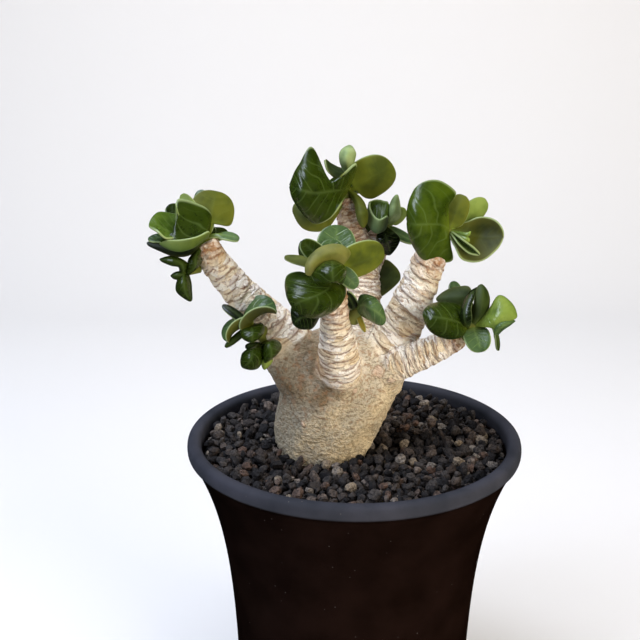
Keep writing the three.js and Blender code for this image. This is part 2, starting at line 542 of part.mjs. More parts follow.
// The gravel: rings of points from the middle of its top out to the wall, down the wall and in again below.
// Each point of the top stands as high as a grain there, so that the facets between them are the faces of
// grains.
function makeGravel() {
  const outside = insideRadius(gravelTop) - fitGap;
  const sides = Math.round((2 * Math.PI * outside) / (grainStretch * grainSize));
  const ringCount = Math.round(outside / grainSize);
  const rings = [];
  for (let i = 1; i <= ringCount; i += 1) {
    const ring = [];
    for (let j = 0; j < sides; j += 1) {
      const shift = i === ringCount ? 0 : grainShift;
      const radius = (outside * i) / ringCount + shift * grainSize * scatter(i, j);
      const angle = (2 * Math.PI * (j + (i % 2) / 2 + shift * scatter(j, i))) / sides;
      const height = gravelTop + grainHeight * scatter(i + 7, j + 3);
      ring.push([radius * Math.cos(angle), radius * Math.sin(angle), height]);
    }
    rings.push(ring);
  }
  for (const height of [...wallHeights, floorThickness + fitGap]) {
    const radius = insideRadius(height) - fitGap;
    const half = (ringCount % 2) / 2;
    rings.push(Array.from({ length: sides }, (_, j) => {
      const angle = (2 * Math.PI * (j + half)) / sides;
      return [radius * Math.cos(angle), radius * Math.sin(angle), height];
    }));
  }
  return closedRings(rings, [0, 0, gravelTop], [0, 0, floorThickness + fitGap]);
}

// The caudex and its branches, each grown thicker by extra. Three broad lumps and seven small ones run up
// the caudex, turning as they go.
function makeBody(extra) {
  const rings = caudexSections.map(([height, x, y, alongX, alongY]) =>
    Array.from({ length: caudexSides }, (_, j) => {
      const angle = (2 * Math.PI * j) / caudexSides;
      const lumps = Math.sin(3 * angle + height / 9) + 0.6 * Math.sin(7 * angle - height / 5);
      const swell = 1 + caudexLump * lumps;
      return [
        x + (alongX * swell + extra) * Math.cos(angle),
        y + (alongY * swell + extra) * Math.sin(angle),
        height,
      ];
    }),
  ).reverse();
  const [top] = caudexSections.slice(-1);
  const [foot] = caudexSections;
  const crownPoint = [top[1], top[2], top[0] + caudexEnds[1] + extra];
  const footPoint = [foot[1], foot[2], foot[0] - caudexEnds[0] - extra];
  let solid = closedRings(rings, crownPoint, footPoint);
  for (const branch of branches) solid = solid.add(makeBranch(branch, extra));
  return solid;
}

// A branch: rings round its path, two for each leaf scar, one in the groove and one on the ridge.
function makeBranch({ path, scar, ridge, tilt, sides }, extra) {
  const places = path.map(([x, y, z]) => new THREE.Vector3(x, y, z));
  const curve = new THREE.CatmullRomCurve3(places, false, "centripetal");
  const length = curve.getLength();
  const steps = 2 * Math.round(length / scar);
  const across = new THREE.Vector3(1, 0, 0);
  const rings = [];
  for (let i = 0; i <= steps; i += 1) {
    const middle = curve.getPointAt(i / steps);
    const ahead = curve.getTangentAt(i / steps);
    const right = across.clone().addScaledVector(ahead, -across.dot(ahead)).normalize();
    const back = new THREE.Vector3().crossVectors(ahead, right);
    const relief = i % 2 ? ridge / 2 : -ridge / 2;
    const radius = pathRadius(path, curve.getUtoTmapping(i / steps)) + relief + extra;
    const lean = i < steps ? tilt : 0;
    rings.push(Array.from({ length: sides }, (_, j) => {
      const angle = (2 * Math.PI * (j + (i % 2) / 2)) / sides;
      const point = middle.clone().addScaledVector(right, radius * Math.cos(angle));
      point.addScaledVector(back, radius * Math.sin(angle));
      point.addScaledVector(ahead, lean * radius * Math.cos(angle));
      return point.toArray();
    }));
  }
  const end = curve.getPointAt(1).addScaledVector(curve.getTangentAt(1), extra);
  return closedRings(rings.reverse(), end.toArray(), curve.getPointAt(0).toArray());
}

// The radius between the points of a path, at the curve's own measure from 0 to 1.
function pathRadius(path, measure) {
  const place = Math.min(measure, 0.9999) * (path.length - 1);
  const before = Math.floor(place);
  return THREE.MathUtils.lerp(path[before][3], path[before + 1][3], place - before);
}

// A head of leaves: the shoot, its twigs and its leaves, fused.
function makeHead({ shoot, twigs, leaves }) {
  const [foot, end] = shoot.map((place) => new THREE.Vector3(...place));
  let solid = makeShoot(foot, end, shootRadii);
  for (const twig of twigs) {
    const [twigFoot, twigEnd] = twig.map((place) => new THREE.Vector3(...place).add(end));
    solid = solid.add(makeShoot(twigFoot, twigEnd, twigRadii));
  }
  for (const fields of leaves) solid = solid.add(makeLeaf(end, fields));
  return solid;
}

function makeShoot(foot, end, radii) {
  const ahead = end.clone().sub(foot).normalize();
  const right = new THREE.Vector3(0, 1, 0).cross(ahead).normalize();
  const back = new THREE.Vector3().crossVectors(ahead, right);
  const rings = [end, foot].map((middle, i) =>
    Array.from({ length: roundSides }, (_, j) => {
      const angle = (2 * Math.PI * j) / roundSides;
      const radius = radii[1 - i];
      const point = middle.clone().addScaledVector(right, radius * Math.cos(angle));
      return point.addScaledVector(back, radius * Math.sin(angle)).toArray();
    }),
  );
  const top = end.clone().addScaledVector(ahead, radii[1] / 2);
  return closedRings(rings, top.toArray(), foot.toArray());
}

// A leaf: a grid of points along and across its middle surface, thickened to both sides.
function makeLeaf(origin, fields) {
  const wide = fields.stations ? drawnWidth(fields) : [fields.wide].flat().reduce((sum, half) => sum + half);
  const rows = wide > 20 ? 7 : wide > 10 ? 6 : wide > 6 ? 5 : 4;
  const columns = wide > 9.5 ? 5 : 3;
  const surface = fields.stations ? drawnSurface : leafSurface;
  const { points, normals } = surface(origin, fields, rows, columns);
  const count = rows * columns;
  const places = [];
  for (const side of [0.5, -0.5]) {
    for (let i = 0; i < count; i += 1) {
      places.push(...points[i].clone().addScaledVector(normals[i], side * leafThickness).toArray());
    }
  }
  const faces = [];
  for (let i = 0; i < rows - 1; i += 1) {
    for (let j = 0; j < columns - 1; j += 1) {
      const a = i * columns + j;
      const b = a + columns;
      faces.push(a, b, a + 1, b, b + 1, a + 1);
      faces.push(count + a, count + a + 1, count + b, count + b, count + a + 1, count + b + 1);
    }
  }
  const rim = [];
  for (let i = 0; i < rows; i += 1) rim.push(i * columns);
  for (let j = 1; j < columns; j += 1) rim.push((rows - 1) * columns + j);
  for (let i = rows - 2; i >= 0; i -= 1) rim.push(i * columns + columns - 1);
  for (let j = columns - 2; j > 0; j -= 1) rim.push(j);
  rim.forEach((a, i) => {
    const b = rim[(i + 1) % rim.length];
    faces.push(a, count + a, count + b, a, count + b, b);
  });
  return meshSolid(places, faces);
}

// The middle surface of a leaf. Its midrib is an arc of a circle, bent up by curl from the root to the tip.
// At each place along it either half is an arc of its own, bent up by cup from the midrib to the widest
// part of the margin.
function leafSurface(origin, fields, rows, columns) {
  const { curl, cup, stalk, lobe, broad, square, wave, bite } = fields;
  const halves = Array.isArray(fields.wide) ? fields.wide : [fields.wide / 2, fields.wide / 2];
  const bothCups = Array.isArray(cup) ? cup : [cup, cup];
  const cups = bothCups.map((angle) => THREE.MathUtils.degToRad(angle || leastBend));
  const root = new THREE.Vector3(...fields.root).add(origin);
  const reach = new THREE.Vector3(...fields.tip).add(origin).sub(root);
  const ahead = reach.clone().normalize();
  const face = new THREE.Vector3(...fields.face);
  const up = face.addScaledVector(ahead, -face.dot(ahead)).normalize();
  const side = new THREE.Vector3().crossVectors(up, ahead);
  const bend = THREE.MathUtils.degToRad(curl || leastBend);
  const arcRadius = reach.length() / (2 * Math.sin(bend / 2));
  const setBack = (lobe * (halves[0] + halves[1])) / 2 / (arcRadius * bend);
  const points = [];
  const normals = [];
  for (let i = 0; i < rows; i += 1) {
    const share = (1 - Math.cos((Math.PI * i) / (rows - 1))) / 2;
    const blade = THREE.MathUtils.clamp((share - stalk) / (1 - stalk), 0, 1);
    const place = blade + broad * blade * (1 - blade);
    const full = Math.max(1 - Math.abs(2 * place - 1) ** square, 0) ** (1 / square);
    const neck = (neckWidth / 2) * THREE.MathUtils.clamp(2 - 4 * blade, 0, 1);
    for (let j = 0; j < columns; j += 1) {
      const across = (2 * j) / (columns - 1) - 1;
      const half = halves[across < 0 ? 0 : 1];
      const cupped = cups[across < 0 ? 0 : 1];
      const fold = across * bite[0] > 0 ? bite[2] * Math.exp(-(((blade - bite[1]) / bite[3]) ** 2)) : 0;
      const width = Math.max(full * half * (1 - fold), neck, leastWidth / 2);
      const back = setBack * across ** 2 * Math.sin(Math.PI * blade) * (1 - blade);
      const along = Math.max(share - back, 0);
      const turn = bend * (along - 0.5);
      const middle = root.clone();
      middle.addScaledVector(ahead, arcRadius * (Math.sin(turn) + Math.sin(bend / 2)));
      middle.addScaledVector(up, arcRadius * (Math.cos(bend / 2) - Math.cos(turn)));
      const normal = up.clone().multiplyScalar(Math.cos(turn)).addScaledVector(ahead, -Math.sin(turn));
      const bow = half / cupped;
      const swing = (width * Math.abs(across)) / bow;
      const ripple = wave * across ** 2 * Math.sin(3 * Math.PI * share) * Math.min(4 * blade, 1);
      middle.addScaledVector(side, Math.sign(across) * bow * Math.sin(swing));
      middle.addScaledVector(normal, bow * (1 - Math.cos(swing)) + ripple);
      points.push(middle);
      normal.multiplyScalar(Math.cos(swing)).addScaledVector(side, -Math.sign(across) * Math.sin(swing));
      normals.push(normal);
    }
  }
  return { points, normals };
}

// The widest that a drawn leaf is, over its midrib.
function drawnWidth({ stations }) {
  const gap = (a, b) => new THREE.Vector3(...a).distanceTo(new THREE.Vector3(...b));
  return Math.max(...stations.map(([left, middle, right]) => gap(left, middle) + gap(middle, right)));
}

// The middle surface of a drawn leaf. Both margins are one smooth loop through the root and the tip. Across
// the leaf the surface is the parabola through the margin, the midrib and the margin.
function drawnSurface(origin, { root, tip, stations }, rows, columns) {
  const [start, end] = [root, tip].map((place) => new THREE.Vector3(...place).add(origin));
  const [lefts, middles, rights] = [0, 1, 2].map((k) =>
    stations.map((station) => new THREE.Vector3(...station[k]).add(origin)),
  );
  const margins = [start, ...lefts, end, ...rights.reverse()];
  const loop = new THREE.CatmullRomCurve3(margins, true, "catmullrom", 0.5);
  const midrib = new THREE.CatmullRomCurve3([start, ...middles, end], false, "catmullrom", 0.5);
  const points = [];
  for (let i = 0; i < rows; i += 1) {
    const share = THREE.MathUtils.lerp(...drawnEnds, (1 - Math.cos((Math.PI * i) / (rows - 1))) / 2);
    const low = loop.getPoint(share / 2);
    const high = loop.getPoint(1 - share / 2);
    const rib = midrib.getPoint(share);
    const span = high.clone().sub(low).divideScalar(2);
    const sag = high.clone().add(low).divideScalar(2).sub(rib);
    for (let j = 0; j < columns; j += 1) {
      const across = (2 * j) / (columns - 1) - 1;
      points.push(rib.clone().addScaledVector(span, across).addScaledVector(sag, across ** 2));
    }
  }
  const normals = points.map((_, index) => {
    const i = Math.floor(index / columns);
    const j = index % columns;
    const before = points[Math.max(i - 1, 0) * columns + j];
    const after = points[Math.min(i + 1, rows - 1) * columns + j];
    const left = points[i * columns + Math.max(j - 1, 0)];
    const right = points[i * columns + Math.min(j + 1, columns - 1)];
    return after.clone().sub(before).cross(right.clone().sub(left)).normalize();
  });
  return { points, normals };
}

// A closed body of rings with the same number of points, the topmost first, between a top and a bottom
// point.
function closedRings(rings, top, bottom) {
  const sides = rings[0].length;
  const places = [...rings.flat(2), ...top, ...bottom];
  const topIndex = rings.length * sides;
  const faces = [];
  for (let j = 0; j < sides; j += 1) {
    const next = (j + 1) % sides;
    faces.push(topIndex, j, next);
    for (let i = 0; i < rings.length - 1; i += 1) {
      const above = i * sides;
      const below = above + sides;
      faces.push(above + j, below + j, above + next, above + next, below + j, below + next);
    }
    const last = (rings.length - 1) * sides;
    faces.push(topIndex + 1, last + next, last + j);
  }
  return meshSolid(places, faces);
}

function meshSolid(places, faces) {
  const vertProperties = new Float32Array(places);
  const triVerts = new Uint32Array(faces);
  return new wasm.Manifold(new wasm.Mesh({ numProp: 3, vertProperties, triVerts }));
}

function toSolid(geometry) {
  geometry.deleteAttribute("normal");
  geometry.deleteAttribute("uv");
  const merged = mergeVertices(geometry, 1e-4);
  return meshSolid(merged.attributes.position.array, merged.index.array);
}

// The largest of the bodies in a solid, without the scraps that a cut can leave.
function largest(solid) {
  const bodies = solid.decompose();
  return bodies.reduce((best, next) => (next.volume() > best.volume() ? next : best));
}

function toGeometry(solid) {
  const { numProp, vertProperties, triVerts } = solid.getMesh();
  const geometry = new THREE.BufferGeometry();
  const places = new Float32Array((vertProperties.length / numProp) * 3);
  for (let i = 0; i < places.length / 3; i += 1) {
    places.set(vertProperties.subarray(i * numProp, i * numProp + 3), i * 3);
  }
  geometry.setAttribute("position", new THREE.BufferAttribute(places, 3));
  geometry.setIndex(new THREE.BufferAttribute(new Uint32Array(triVerts), 1));
  geometry.computeVertexNormals();
  return geometry;
}
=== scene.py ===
import math
import bpy
import numpy as np
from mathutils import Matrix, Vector


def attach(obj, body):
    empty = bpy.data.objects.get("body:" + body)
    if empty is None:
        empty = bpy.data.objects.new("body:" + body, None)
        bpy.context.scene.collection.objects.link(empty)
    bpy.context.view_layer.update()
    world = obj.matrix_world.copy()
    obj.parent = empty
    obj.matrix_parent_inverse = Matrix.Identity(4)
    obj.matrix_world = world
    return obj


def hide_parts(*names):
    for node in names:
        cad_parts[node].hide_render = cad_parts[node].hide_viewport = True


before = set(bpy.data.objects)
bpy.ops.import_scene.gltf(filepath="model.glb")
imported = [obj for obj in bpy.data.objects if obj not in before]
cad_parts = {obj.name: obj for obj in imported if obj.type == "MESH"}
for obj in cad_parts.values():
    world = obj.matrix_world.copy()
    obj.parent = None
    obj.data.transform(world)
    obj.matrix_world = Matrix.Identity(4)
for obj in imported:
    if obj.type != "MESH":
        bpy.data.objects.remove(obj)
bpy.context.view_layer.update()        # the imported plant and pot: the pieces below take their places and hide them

mm = 0.001
print("frame loaded")


# Shared helpers

def srgb(hexValue):
    # An sRGB hex colour turned to the linear values that shaders take.
    parts = [int(hexValue[i:i + 2], 16) / 255 for i in (1, 3, 5)]
    return [part / 12.92 if part <= 0.04045 else ((part + 0.055) / 1.055) ** 2.4 for part in parts] + [1.0]


def plugIn(tree, node, inputs):
    # Sets inputs given by name, or as a list in the node's own order. A hex colour is turned linear, and a
    # node is linked by the first output that it shows.
    pairs = inputs.items() if isinstance(inputs, dict) else enumerate(inputs)
    for name, value in pairs:
        if isinstance(value, bpy.types.Node):
            value = next(output for output in value.outputs if output.enabled)
        if isinstance(value, bpy.types.NodeSocket):
            tree.links.new(value, node.inputs[name])
        else:
            node.inputs[name].default_value = srgb(value) if isinstance(value, str) else value


def addNode(tree, kind, inputs=(), ramp=(), **settings):
    # Adds one shader node with its settings, its colour ramp, and its inputs as values or links.
    made = tree.nodes.new("ShaderNode" + kind)
    for name, value in settings.items():
        setattr(made, name, value)
    if ramp:
        elements = made.color_ramp.elements
        elements.remove(elements[-1])
        elements[0].position = ramp[0][0]
        elements[0].color = srgb(ramp[0][1])
        for place, hexValue in ramp[1:]:
            elements.new(place).color = srgb(hexValue)
    plugIn(tree, made, inputs)
    return made


blended = {"data_type": "RGBA"}                                  # settings of a Mix node for colours
multiplied = {"data_type": "RGBA", "blend_type": "MULTIPLY"}


def startMaterial(name):
    material = bpy.data.materials.new(name)
    material.use_nodes = True
    tree = material.node_tree
    return material, tree, tree.nodes["Principled BSDF"], addNode(tree, "TexCoord").outputs["Object"]


def perSize(size):
    # The scale of a texture on Object coordinates, in metres, for features of a size in millimetres.
    return 1 / (size * mm)


def unit(vectors):
    return vectors / np.maximum(np.linalg.norm(vectors, axis=-1, keepdims=True), 1e-12)


def smoothstep(low, high, value):
    share = np.clip((value - low) / (high - low), 0, 1)
    return share * share * (3 - 2 * share)


def latticeNoise(points, size, seed):
    # Random values at the whole numbered points of a lattice of that size, blended smoothly: -1 to 1.
    scaled = np.asarray(points) / size
    whole = np.floor(scaled)
    part = scaled - whole
    part = part * part * (3 - 2 * part)
    total = np.zeros(scaled.shape[:-1])
    scatter = np.array([127.1, 311.7, 74.7])[:scaled.shape[-1]]
    for corner in np.ndindex(*([2] * scaled.shape[-1])):
        value = np.sin((whole + np.array(corner)) @ scatter + seed * 17.3) * 43758.5453
        weight = np.prod(np.where(np.array(corner) == 1, part, 1 - part), axis=-1)
        total += weight * (value - np.floor(value))
    return 2 * total - 1


def splinePoints(points, place, closed):
    # A smooth curve through the points (Catmull-Rom), at places counted in points from the first.
    points = np.asarray(points, float)
    index = np.floor(place).astype(int)
    if closed:
        part = (place - index)[:, None]
        a, b, c, d = (points[(index + k) % len(points)] for k in (-1, 0, 1, 2))
    else:
        index = np.minimum(index, len(points) - 2)
        part = (place - index)[:, None]
        padded = np.vstack([2 * points[0] - points[1], points, 2 * points[-1] - points[-2]])
        a, b, c, d = (padded[index + k] for k in range(4))
    return 0.5 * (2 * b + (c - a) * part + (2 * a - 5 * b + 4 * c - d) * part ** 2
                  + (3 * b - a - 3 * c + d) * part ** 3)


def curveThrough(points, count):
    # A smooth curve through the points (Catmull-Rom), in even steps of its length in x, y and z.
    curve = splinePoints(points, np.linspace(0, len(points) - 1, 40 * len(points)), False)
    steps = np.linalg.norm(np.diff(curve[:, :3], axis=0), axis=1)
    length = np.concatenate([[0], np.cumsum(steps)])
    even = np.linspace(0, length[-1], count)
    return np.stack([np.interp(even, length, column) for column in curve.T], axis=1), length[-1]


def fullTurn(count):
    # Even angles once round.
    return np.arange(count) * 2 * math.pi / count


def tubeRings(middle, radius, right, back, sides):
    # Circles round the points of a line: middle + radius * (right * cosine + back * sine).
    angle = fullTurn(sides)[None, :, None]
    around = right[..., None, :] * np.cos(angle) + back[..., None, :] * np.sin(angle)
    return middle[:, None, :] + radius[:, None, None] * around


def gridFaces(rows, columns, closed):
    # The quads of a grid of points, row by row. A closed grid joins each row's last point to its first.
    i = np.arange(rows - 1)[:, None]
    j = np.arange(columns if closed else columns - 1)[None, :]
    following = (j + 1) % columns
    quads = np.stack([i * columns + j, i * columns + following, (i + 1) * columns + following,
                      (i + 1) * columns + j], axis=-1)
    return quads.reshape(-1, 4)


def closedTube(rings, foot, top):
    # Rings of points closed by a fan of triangles over either end: the points with the two poles last, the
    # quads and the triangles.
    rows, columns = rings.shape[:2]
    j = np.arange(columns)
    following = (j + 1) % columns
    start = rows * columns
    last = start - columns
    startFan = np.stack([np.full(columns, start), following, j], axis=1)
    endFan = np.stack([np.full(columns, start + 1), last + j, last + following], axis=1)
    return (np.vstack([rings.reshape(-1, 3), foot, top]), gridFaces(rows, columns, True),
            np.vstack([startFan, endFan]))


def joinShapes(shapes):
    # Several shapes of points, quads and triangles as one.
    starts = np.concatenate([[0], np.cumsum([len(points) for points, _, _ in shapes])[:-1]])
    return (np.vstack([points for points, _, _ in shapes]),
            np.vstack([quads + start for (_, quads, _), start in zip(shapes, starts)]),
            np.vstack([fans + start for (_, _, fans), start in zip(shapes, starts)]))


def flatValues(values, kind=np.float32):
    return np.asarray(values).astype(kind).ravel()


def buildMesh(name, points, quads, triangles=np.zeros((0, 3), int), smooth=True):
    # Puts whole arrays of points, in millimetres, and faces into a new mesh.
    mesh = bpy.data.meshes.new(name)
    mesh.vertices.add(len(points))
    mesh.vertices.foreach_set("co", flatValues(np.asarray(points) * mm))
    corners = np.concatenate([np.ravel(quads), np.ravel(triangles)]).astype(np.int32)
    sizes = np.concatenate([np.full(len(quads), 4), np.full(len(triangles), 3)])
    mesh.loops.add(len(corners))
    mesh.loops.foreach_set("vertex_index", corners)
    mesh.polygons.add(len(sizes))
    starts = np.concatenate([[0], np.cumsum(sizes)[:-1]])
    mesh.polygons.foreach_set("loop_start", flatValues(starts, np.int32))
    mesh.update(calc_edges=True)
    mesh.validate()
    mesh.polygons.foreach_set("use_smooth", np.full(len(mesh.polygons), smooth))
    return mesh


def movePoints(mesh, points):
    mesh.vertices.foreach_set("co", flatValues(points * mm))
    mesh.update()


def readRows(items, name, width, kind=np.float32):
    # One property of all vertices, edges or corners of a mesh, as the rows of an array.
    values = np.zeros(len(items) * width, kind)
    items.foreach_get(name, values)
    return values.reshape(-1, width)


def addAttribute(mesh, name, values, kind="FLOAT", part="value"):
    made = mesh.attributes.new(name, kind, "POINT")
    made.data.foreach_set(part, flatValues(values))


def addObject(name, data):
    made = bpy.data.objects.new(name, data)
    bpy.context.scene.collection.objects.link(made)
    return made


def addPiece(name, mesh, material, nodes):
    piece = addObject(name, mesh)
    piece.data.materials.append(material)
    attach(piece, "root")
    if nodes:
        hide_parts(*nodes)
    return piece


def bakeModifiers(piece):
    # Swaps a piece's mesh for the one that its modifiers give.
    graph = bpy.context.evaluated_depsgraph_get()
    baked = bpy.data.meshes.new_from_object(piece.evaluated_get(graph))
    piece.modifiers.clear()
    piece.data = baked


# The camera: where the photograph was taken from, about 32 cm away, looking 17 degrees down

view = {"place": (-10.7, -320, 235.3), "down": 17.05, "lens": 61.34, "sensor": 36, "nearest": 10}
camera = addObject("camera", bpy.data.cameras.new("camera"))
camera.data.lens = view["lens"]
camera.data.sensor_width = view["sensor"]
camera.data.clip_start = view["nearest"] * mm
camera.location = Vector(view["place"]) * mm
camera.rotation_euler = (math.radians(90 - view["down"]), 0, 0)
bpy.context.scene.camera = camera


# The pot: injection moulded polypropylene, satin black, with a rolled rim

pot = {
    "height": 100, "rimRadius": 52.5, "rimInnerRadius": 48.1, "rimDepth": 4.6, "waist": 37, "flare": 16,
    "flareDepth": 27, "rimMiddle": 98.2, "wall": 1.6, "floor": 2.4, "footRound": 1.2, "sides": 160,
    "drainHoles": 8, "drainRadius": 3, "drainCircle": 24, "drainSides": 24, "cutBeyond": 2,
    "poleRing": 6,                  # the innermost ring of the floor
    # how many rings of points each stretch of the profile has
    "underRings": 8, "cornerRings": 6, "wallRings": 60, "rimRings": 34, "insideRings": 50, "floorRings": 6,
    # the rim from its lower outer edge over its top to its inner edge: how far in and how far down
    "rimOutline": [(0.75, 4.6), (0.35, 4.35), (0.05, 3.6), (0.0, 2.2), (0.25, 1.0), (0.9, 0.3), (2.0, 0.0),
                   (3.1, 0.15), (3.9, 0.7), (4.3, 1.6), (4.4, 2.6)],
    "rimSheen": (94.8, 96.2),      # between these heights the wall's colour gives way to the rim's lighter one, a painted sheen
}


def wallRadius(height):
    # The wall opens out exponentially from a straight waist towards the rim.
    return pot["waist"] + pot["flare"] * np.exp(-(pot["rimMiddle"] - height) / pot["flareDepth"])


def insideRadius(height):
    return np.minimum(wallRadius(height) - pot["wall"], pot["rimInnerRadius"] - 0.1)


def potProfile():
    # The radius and the height of each ring, from the middle of the underside out, up the wall, over the rim
    # and down inside to the middle of the floor.
    rimFoot = pot["height"] - pot["rimDepth"]
    rim, _ = curveThrough([(x, y, 0) for x, y in pot["rimOutline"]], pot["rimRings"])
    up = np.linspace(pot["footRound"], rimFoot, pot["wallRings"])
    corner = np.linspace(0, math.pi / 2, pot["cornerRings"])[:-1]
    foot = wallRadius(0) - pot["footRound"]
    under = np.linspace(pot["poleRing"], foot, pot["underRings"])[:-1]
    down = np.linspace(rimFoot, pot["floor"] + pot["footRound"], pot["insideRings"])
    inner = np.linspace(insideRadius(pot["floor"]) - 1, pot["poleRing"], pot["floorRings"])
    lines = [
        (under, np.zeros(len(under))),
        (foot + pot["footRound"] * np.sin(corner), pot["footRound"] * (1 - np.cos(corner))),
        (wallRadius(up), up),
        (pot["rimRadius"] - rim[:, 0], pot["height"] - rim[:, 1]),
        (insideRadius(down), down),
        (inner, np.full(len(inner), pot["floor"])),
    ]
    return [np.concatenate(column) for column in zip(*lines)]


def uprightTube(x, y, radius, height, sides):
    # A shape turned about an upright line: a radius at each height.
    middle = np.column_stack([np.full(len(height), x), np.full(len(height), y), height])
    rings = tubeRings(middle, radius, np.array([1.0, 0, 0]), np.array([0, 1.0, 0]), sides)
    return closedTube(rings, middle[0], middle[-1])


def buildPot():
    return buildMesh("pot", *uprightTube(0.0, 0.0, *potProfile(), pot["sides"]))


def cutDrainHoles(piece):
    # The drain holes are cut with one mesh of upright pegs.
    pegs = []
    for hole in range(pot["drainHoles"]):
        turn = (hole + 0.5) / pot["drainHoles"] * 2 * math.pi
        x = pot["drainCircle"] * math.cos(turn)
        y = pot["drainCircle"] * math.sin(turn)
        ends = np.array([-pot["cutBeyond"], pot["cutBeyond"] + pot["floor"]])
        pegs.append(uprightTube(x, y, np.full(2, pot["drainRadius"]), ends, pot["drainSides"]))
    cutter = addObject("pegs", buildMesh("pegs", *joinShapes(pegs), smooth=False))
    cut = piece.modifiers.new("drain holes", "BOOLEAN")
    cut.operation = "DIFFERENCE"
    cut.solver = "EXACT"
    cut.object = cutter
    bakeModifiers(piece)
    bpy.data.objects.remove(cutter)


def potPlastic():
    # Black polypropylene, moulded with a fine spark-eroded grain: satin, with soft wide reflections. The rim
    # is painted a lighter bluish grey than the browner wall, as a painted sheen, and pale dust sits on the
    # wall in specks.
    material, tree, shader, place = startMaterial("moulded_black_polypropylene")
    height = addNode(tree, "SeparateXYZ", [place]).outputs["Z"]
    low, high = pot["rimSheen"]
    rimSheenShare = addNode(tree, "MapRange", [height, low * mm, high * mm])
    mottle = addNode(tree, "TexNoise", {"Vector": place, "Scale": perSize(14), "Detail": 4.0})
    wall = addNode(tree, "ValToRGB", [mottle], ramp=[(0.35, "#120906"), (0.65, "#1a0f0b")])
    # the rim's lighter bluish grey is a painted sheen where it faces up to the light
    rim = addNode(tree, "ValToRGB", [mottle], ramp=[(0.35, "#2e3036"), (0.65, "#3b3c43")])
    base = addNode(tree, "Mix", {0: rimSheenShare, 6: wall, 7: rim}, **blended)
    specks = addNode(tree, "TexVoronoi", {"Vector": place, "Scale": perSize(2.6)})
    speck = addNode(tree, "MapRange", [specks, 0.05, 0.09, 0.45, 0.0])
    patch = addNode(tree, "TexNoise", {"Vector": place, "Scale": perSize(9)})
    patchy = addNode(tree, "MapRange", [patch, 0.5, 0.62])
    dust = addNode(tree, "Math", [speck, patchy], operation="MULTIPLY")
    dusty = addNode(tree, "Mix", {0: dust, 6: base, 7: "#6d6762"}, **blended)
    rough = addNode(tree, "MapRange", [mottle, 0.0, 1.0, 0.50, 0.62])
    grain = addNode(tree, "TexNoise", {"Vector": place, "Scale": perSize(0.5), "Detail": 2.0})
    bump = addNode(tree, "Bump", {"Height": grain, "Strength": 0.25, "Distance": 0.05 * mm})
    plugIn(tree, shader, {
        "Base Color": dusty, "Roughness": rough, "Specular IOR Level": 0.01, "Normal": bump})
    return material


potPiece = addPiece("plastic_pot", buildPot(), potPlastic(), ["pot"])
cutDrainHoles(potPiece)
print("pot built")


# The body: a swollen caudex with branches covered in rings of leaf scars

caudex = {
    # height, middle x, middle y, half width along x and along y
    "sections": [
        (73, -9.4, -3.6, 0.5, 0.5), (74.2, -9.4, -3.6, 3.5, 3.5), (76, -9.4, -3.6, 5.5, 5.5),
        (80, -9.4, -3.8, 9.2, 9.0), (86, -9.6, -4.0, 11.6, 11.2), (91, -9.7, -4.0, 12.7, 11.9),
        (95, -9.6, -4.0, 13.4, 12.4), (99.5, -8.9, -4.0, 15.0, 13.5), (104, -7.9, -4.0, 16.2, 14.4),
        (108, -6.7, -4.0, 17.1, 15.0), (112.5, -5.8, -4.0, 17.7, 15.3), (117, -5.0, -4.0, 18.3, 15.4),
        (121, -4.5, -3.8, 18.6, 15.2), (125, -4.2, -3.5, 17.9, 14.4), (129, -4.0, -3.2, 15.8, 12.6),
        (132.3, -4.0, -3.0, 12.0, 9.6), (134.4, -4.0, -3.0, 7.0, 5.6), (135.2, -4.0, -3.0, 0.5, 0.5),
    ],
    "lump": 0.025,                  # how far it swells and sinks, as a share of its radius
    "rings": 90, "sides": 96, "branchRings": 140, "branchSides": 40,    # the points of the shapes to be fused
    "voxel": 0.38,                  # the size of the mesh that the whole body is fused in
    "fillet": 4.5,                  # how far from a joint the surface is smoothed
    "smoothing": (0.10, 0.4, 26),   # how much everywhere, how much more at the joints, and how many times
    "reach": 4.5,                   # how far from a branch's skin its scars are worked out
    "ringFade": (0.6, 3.0),         # the scars fade out between these distances from it
    "ragged": (0.9, 2.5),           # how far that edge wanders, and over what length
    "wrinkle": 0.22,                # how high the wrinkles of the skin stand
    "wrinkleSizes": (1.5, 0.9),     # the coarse and the fine ones, each 1.9 times as wide as high
    "wave": (0.4, 5),               # the broad waves of the bare skin: height and size
    "roughness": (0.12, 1.3),       # the same for the unevenness of the branches
    "patternGap": 60,               # sets the branches' ring patterns apart
    # oval scars on the front: x, z, half width, half height and how far they stand out
    "spots": [(6.7, 125.4, 2.1, 1.6, 0.45), (-15.6, 109.8, 0.8, 0.8, 0.5), (5.2, 105.4, 0.8, 0.5, -0.8),
              (3.0, 103.9, 0.9, 0.7, -0.4), (10.4, 123.0, 1.3, 0.9, 0.3), (-0.6, 121.2, 0.8, 1.0, 0.35)],
    # where old brown bark with painted shadow beside the front branch and where whitish bark lies on the
    # shoulders: x, z, half width, half height
    "brown": [(-13, 120, 9, 5.0), (-12, 128, 4.5, 7)],
    "white": [(7, 126, 9, 7)],
    "mostPatch": 0.85,              # how strong such a patch is, at the most
    "frontEdge": (-8, 0),           # the patches fade out between these y
}

